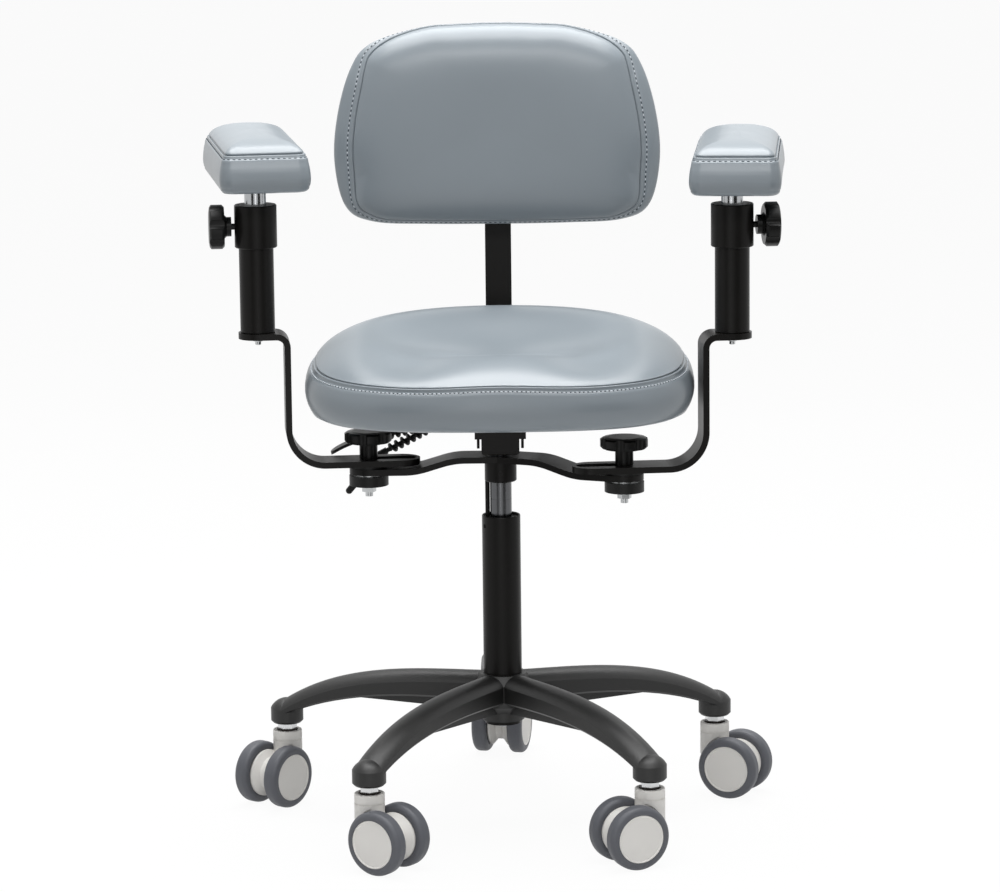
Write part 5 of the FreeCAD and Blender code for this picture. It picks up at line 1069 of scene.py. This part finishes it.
def aimed_lamp(name, place, aim, width, height, watts):
    """Soft box at a place, turned to a point."""
    lamp = bpy.data.lights.new(name, "AREA")
    lamp.shape = "RECTANGLE"
    lamp.size, lamp.size_y = width, height
    lamp.energy = watts
    holder = bpy.data.objects.new(name, lamp)
    holder.visible_camera = False
    holder.location = place
    holder.rotation_euler = (Vector(aim) - Vector(place)).to_track_quat("-Z", "Y").to_euler()
    bpy.context.scene.collection.objects.link(holder)


def shown_directly(tree):
    """1 where a ray comes from the camera, or from a mirror or glass, and 0 where the surface is lit."""
    path = add(tree, "ShaderNodeLightPath")
    first = add(tree, "ShaderNodeMath", {"operation": "MAXIMUM"}, i0=path.outputs["Is Camera Ray"],
                i1=path.outputs["Is Glossy Ray"])
    return add(tree, "ShaderNodeMath", {"operation": "MAXIMUM"}, i0=first.outputs["Value"],
               i1=path.outputs["Is Transmission Ray"]).outputs["Value"]


def flat_piece(name, corners, material):
    """Flat part of the stage through four corners."""
    mesh = bpy.data.meshes.new(name)
    mesh.from_pydata(corners, [], [(0, 1, 2, 3)])
    mesh.materials.append(material)
    piece = bpy.data.objects.new(name, mesh)
    bpy.context.scene.collection.objects.link(piece)
    return piece


def make_camera(stage):
    """Camera at its eye, turned by its pan, pitch and roll."""
    camera = bpy.data.cameras.new("camera")
    camera.sensor_width = 36
    camera.lens = stage.focal
    camera.clip_end = 100
    pitch, roll, pan = (math.radians(angle) for angle in (stage.pitch, stage.roll, stage.pan))
    forward = Vector((math.sin(pan) * math.cos(pitch), math.cos(pan) * math.cos(pitch), -math.sin(pitch)))
    level = Vector((math.cos(pan), -math.sin(pan), 0))
    upright = level.cross(forward)
    right = level * math.cos(roll) - upright * math.sin(roll)
    up = level * math.sin(roll) + upright * math.cos(roll)
    turn = Matrix((right, up, -forward)).transposed().to_4x4()
    holder = bpy.data.objects.new("camera", camera)
    holder.matrix_world = Matrix.Translation(Vector(stage.eye)) @ turn
    bpy.context.scene.collection.objects.link(holder)
    bpy.context.scene.camera = holder


def white_paper():
    """Paper that shows nearly white and keeps the chair's shadow."""
    paper = bpy.data.materials.new("white_paper")
    paper.use_nodes = True
    tree = paper.node_tree
    tree.nodes.clear()
    matt = add(tree, "ShaderNodeBsdfDiffuse", Color=linear("#E6E6E6"))
    white = add(tree, "ShaderNodeEmission", Color=(1, 1, 1, 1), Strength=1.0)
    share = add(tree, "ShaderNodeMath", {"operation": "MULTIPLY"}, i0=shown_directly(tree), i1=FLOOR_SHOWN)
    both = add(tree, "ShaderNodeMixShader", Fac=share.outputs["Value"], i1=matt.outputs["BSDF"],
               i2=white.outputs["Emission"])
    add(tree, "ShaderNodeOutputMaterial", Surface=both.outputs["Shader"])
    return paper


def make_world():
    """World that shows white and lights the chair less."""
    world = bpy.data.worlds.new("studio")
    bpy.context.scene.world = world
    world.use_nodes = True
    tree = world.node_tree
    tree.nodes.clear()
    seen = add(tree, "ShaderNodeBackground", Color=(1, 1, 1, 1), Strength=1.0)
    lit = add(tree, "ShaderNodeBackground", Color=(1, 1, 1, 1), Strength=WORLD_LIT)
    both = add(tree, "ShaderNodeMixShader", Fac=shown_directly(tree), i1=lit.outputs["Background"],
               i2=seen.outputs["Background"])
    add(tree, "ShaderNodeOutputWorld", Surface=both.outputs["Shader"])


class CHAIR_OT_stage(bpy.types.Operator):
    """Make the camera, the floor, the dark cards, the world and the lamps."""
    bl_idname = "chair.stage"
    bl_label = "Stage"

    def execute(self, context):
        make_camera(context.scene.chair_stage)
        far = FLOOR_REACH
        corners = [(-far, -far, 0), (far, -far, 0), (far, far, 0), (-far, far, 0)]
        floor = flat_piece("floor", corners, white_paper())
        for name, (low, high) in CARDS.items():
            corners = [low, (*high[:2], low[2]), high, (*low[:2], high[2])]
            card = flat_piece(name, corners, satin_nylon())
            card.visible_camera = False
        make_world()
        for name, setting in LAMPS.items():
            aimed_lamp(name, *setting)
        context.scene.view_settings.view_transform = "Standard"
        return {"FINISHED"}


OPERATORS = (CHAIR_OT_stage, CHAIR_OT_seat, CHAIR_OT_backrest, CHAIR_OT_pads, CHAIR_OT_frame,
             CHAIR_OT_controls, CHAIR_OT_casters)


class CHAIR_PT_panel(bpy.types.Panel):
    """The chair's pieces, in the order in which they are made."""
    bl_idname = "CHAIR_PT_panel"
    bl_label = "Microscope chair"
    bl_space_type = "VIEW_3D"
    bl_region_type = "UI"
    bl_category = "Chair"

    def draw(self, context):
        for group in (context.scene.chair_sizes, context.scene.chair_colours, context.scene.chair_stage):
            for name in group.__annotations__:
                self.layout.prop(group, name)
        for operator in OPERATORS:
            self.layout.operator(operator.bl_idname)


GROUPS = {"chair_sizes": ChairSizes, "chair_colours": ChairColours, "chair_stage": ChairStage}


def register():
    for group in (*GROUPS.values(), *OPERATORS, CHAIR_PT_panel):
        bpy.utils.register_class(group)
    for name, group in GROUPS.items():
        setattr(bpy.types.Scene, name, PointerProperty(type=group))


def unregister():
    for name in GROUPS:
        delattr(bpy.types.Scene, name)
    for group in reversed((*GROUPS.values(), *OPERATORS, CHAIR_PT_panel)):
        bpy.utils.unregister_class(group)


def main():
    register()
    for operator in OPERATORS:
        space, name = operator.bl_idname.split(".")
        getattr(getattr(bpy.ops, space), name)()


if __name__ == "__main__":
    main()
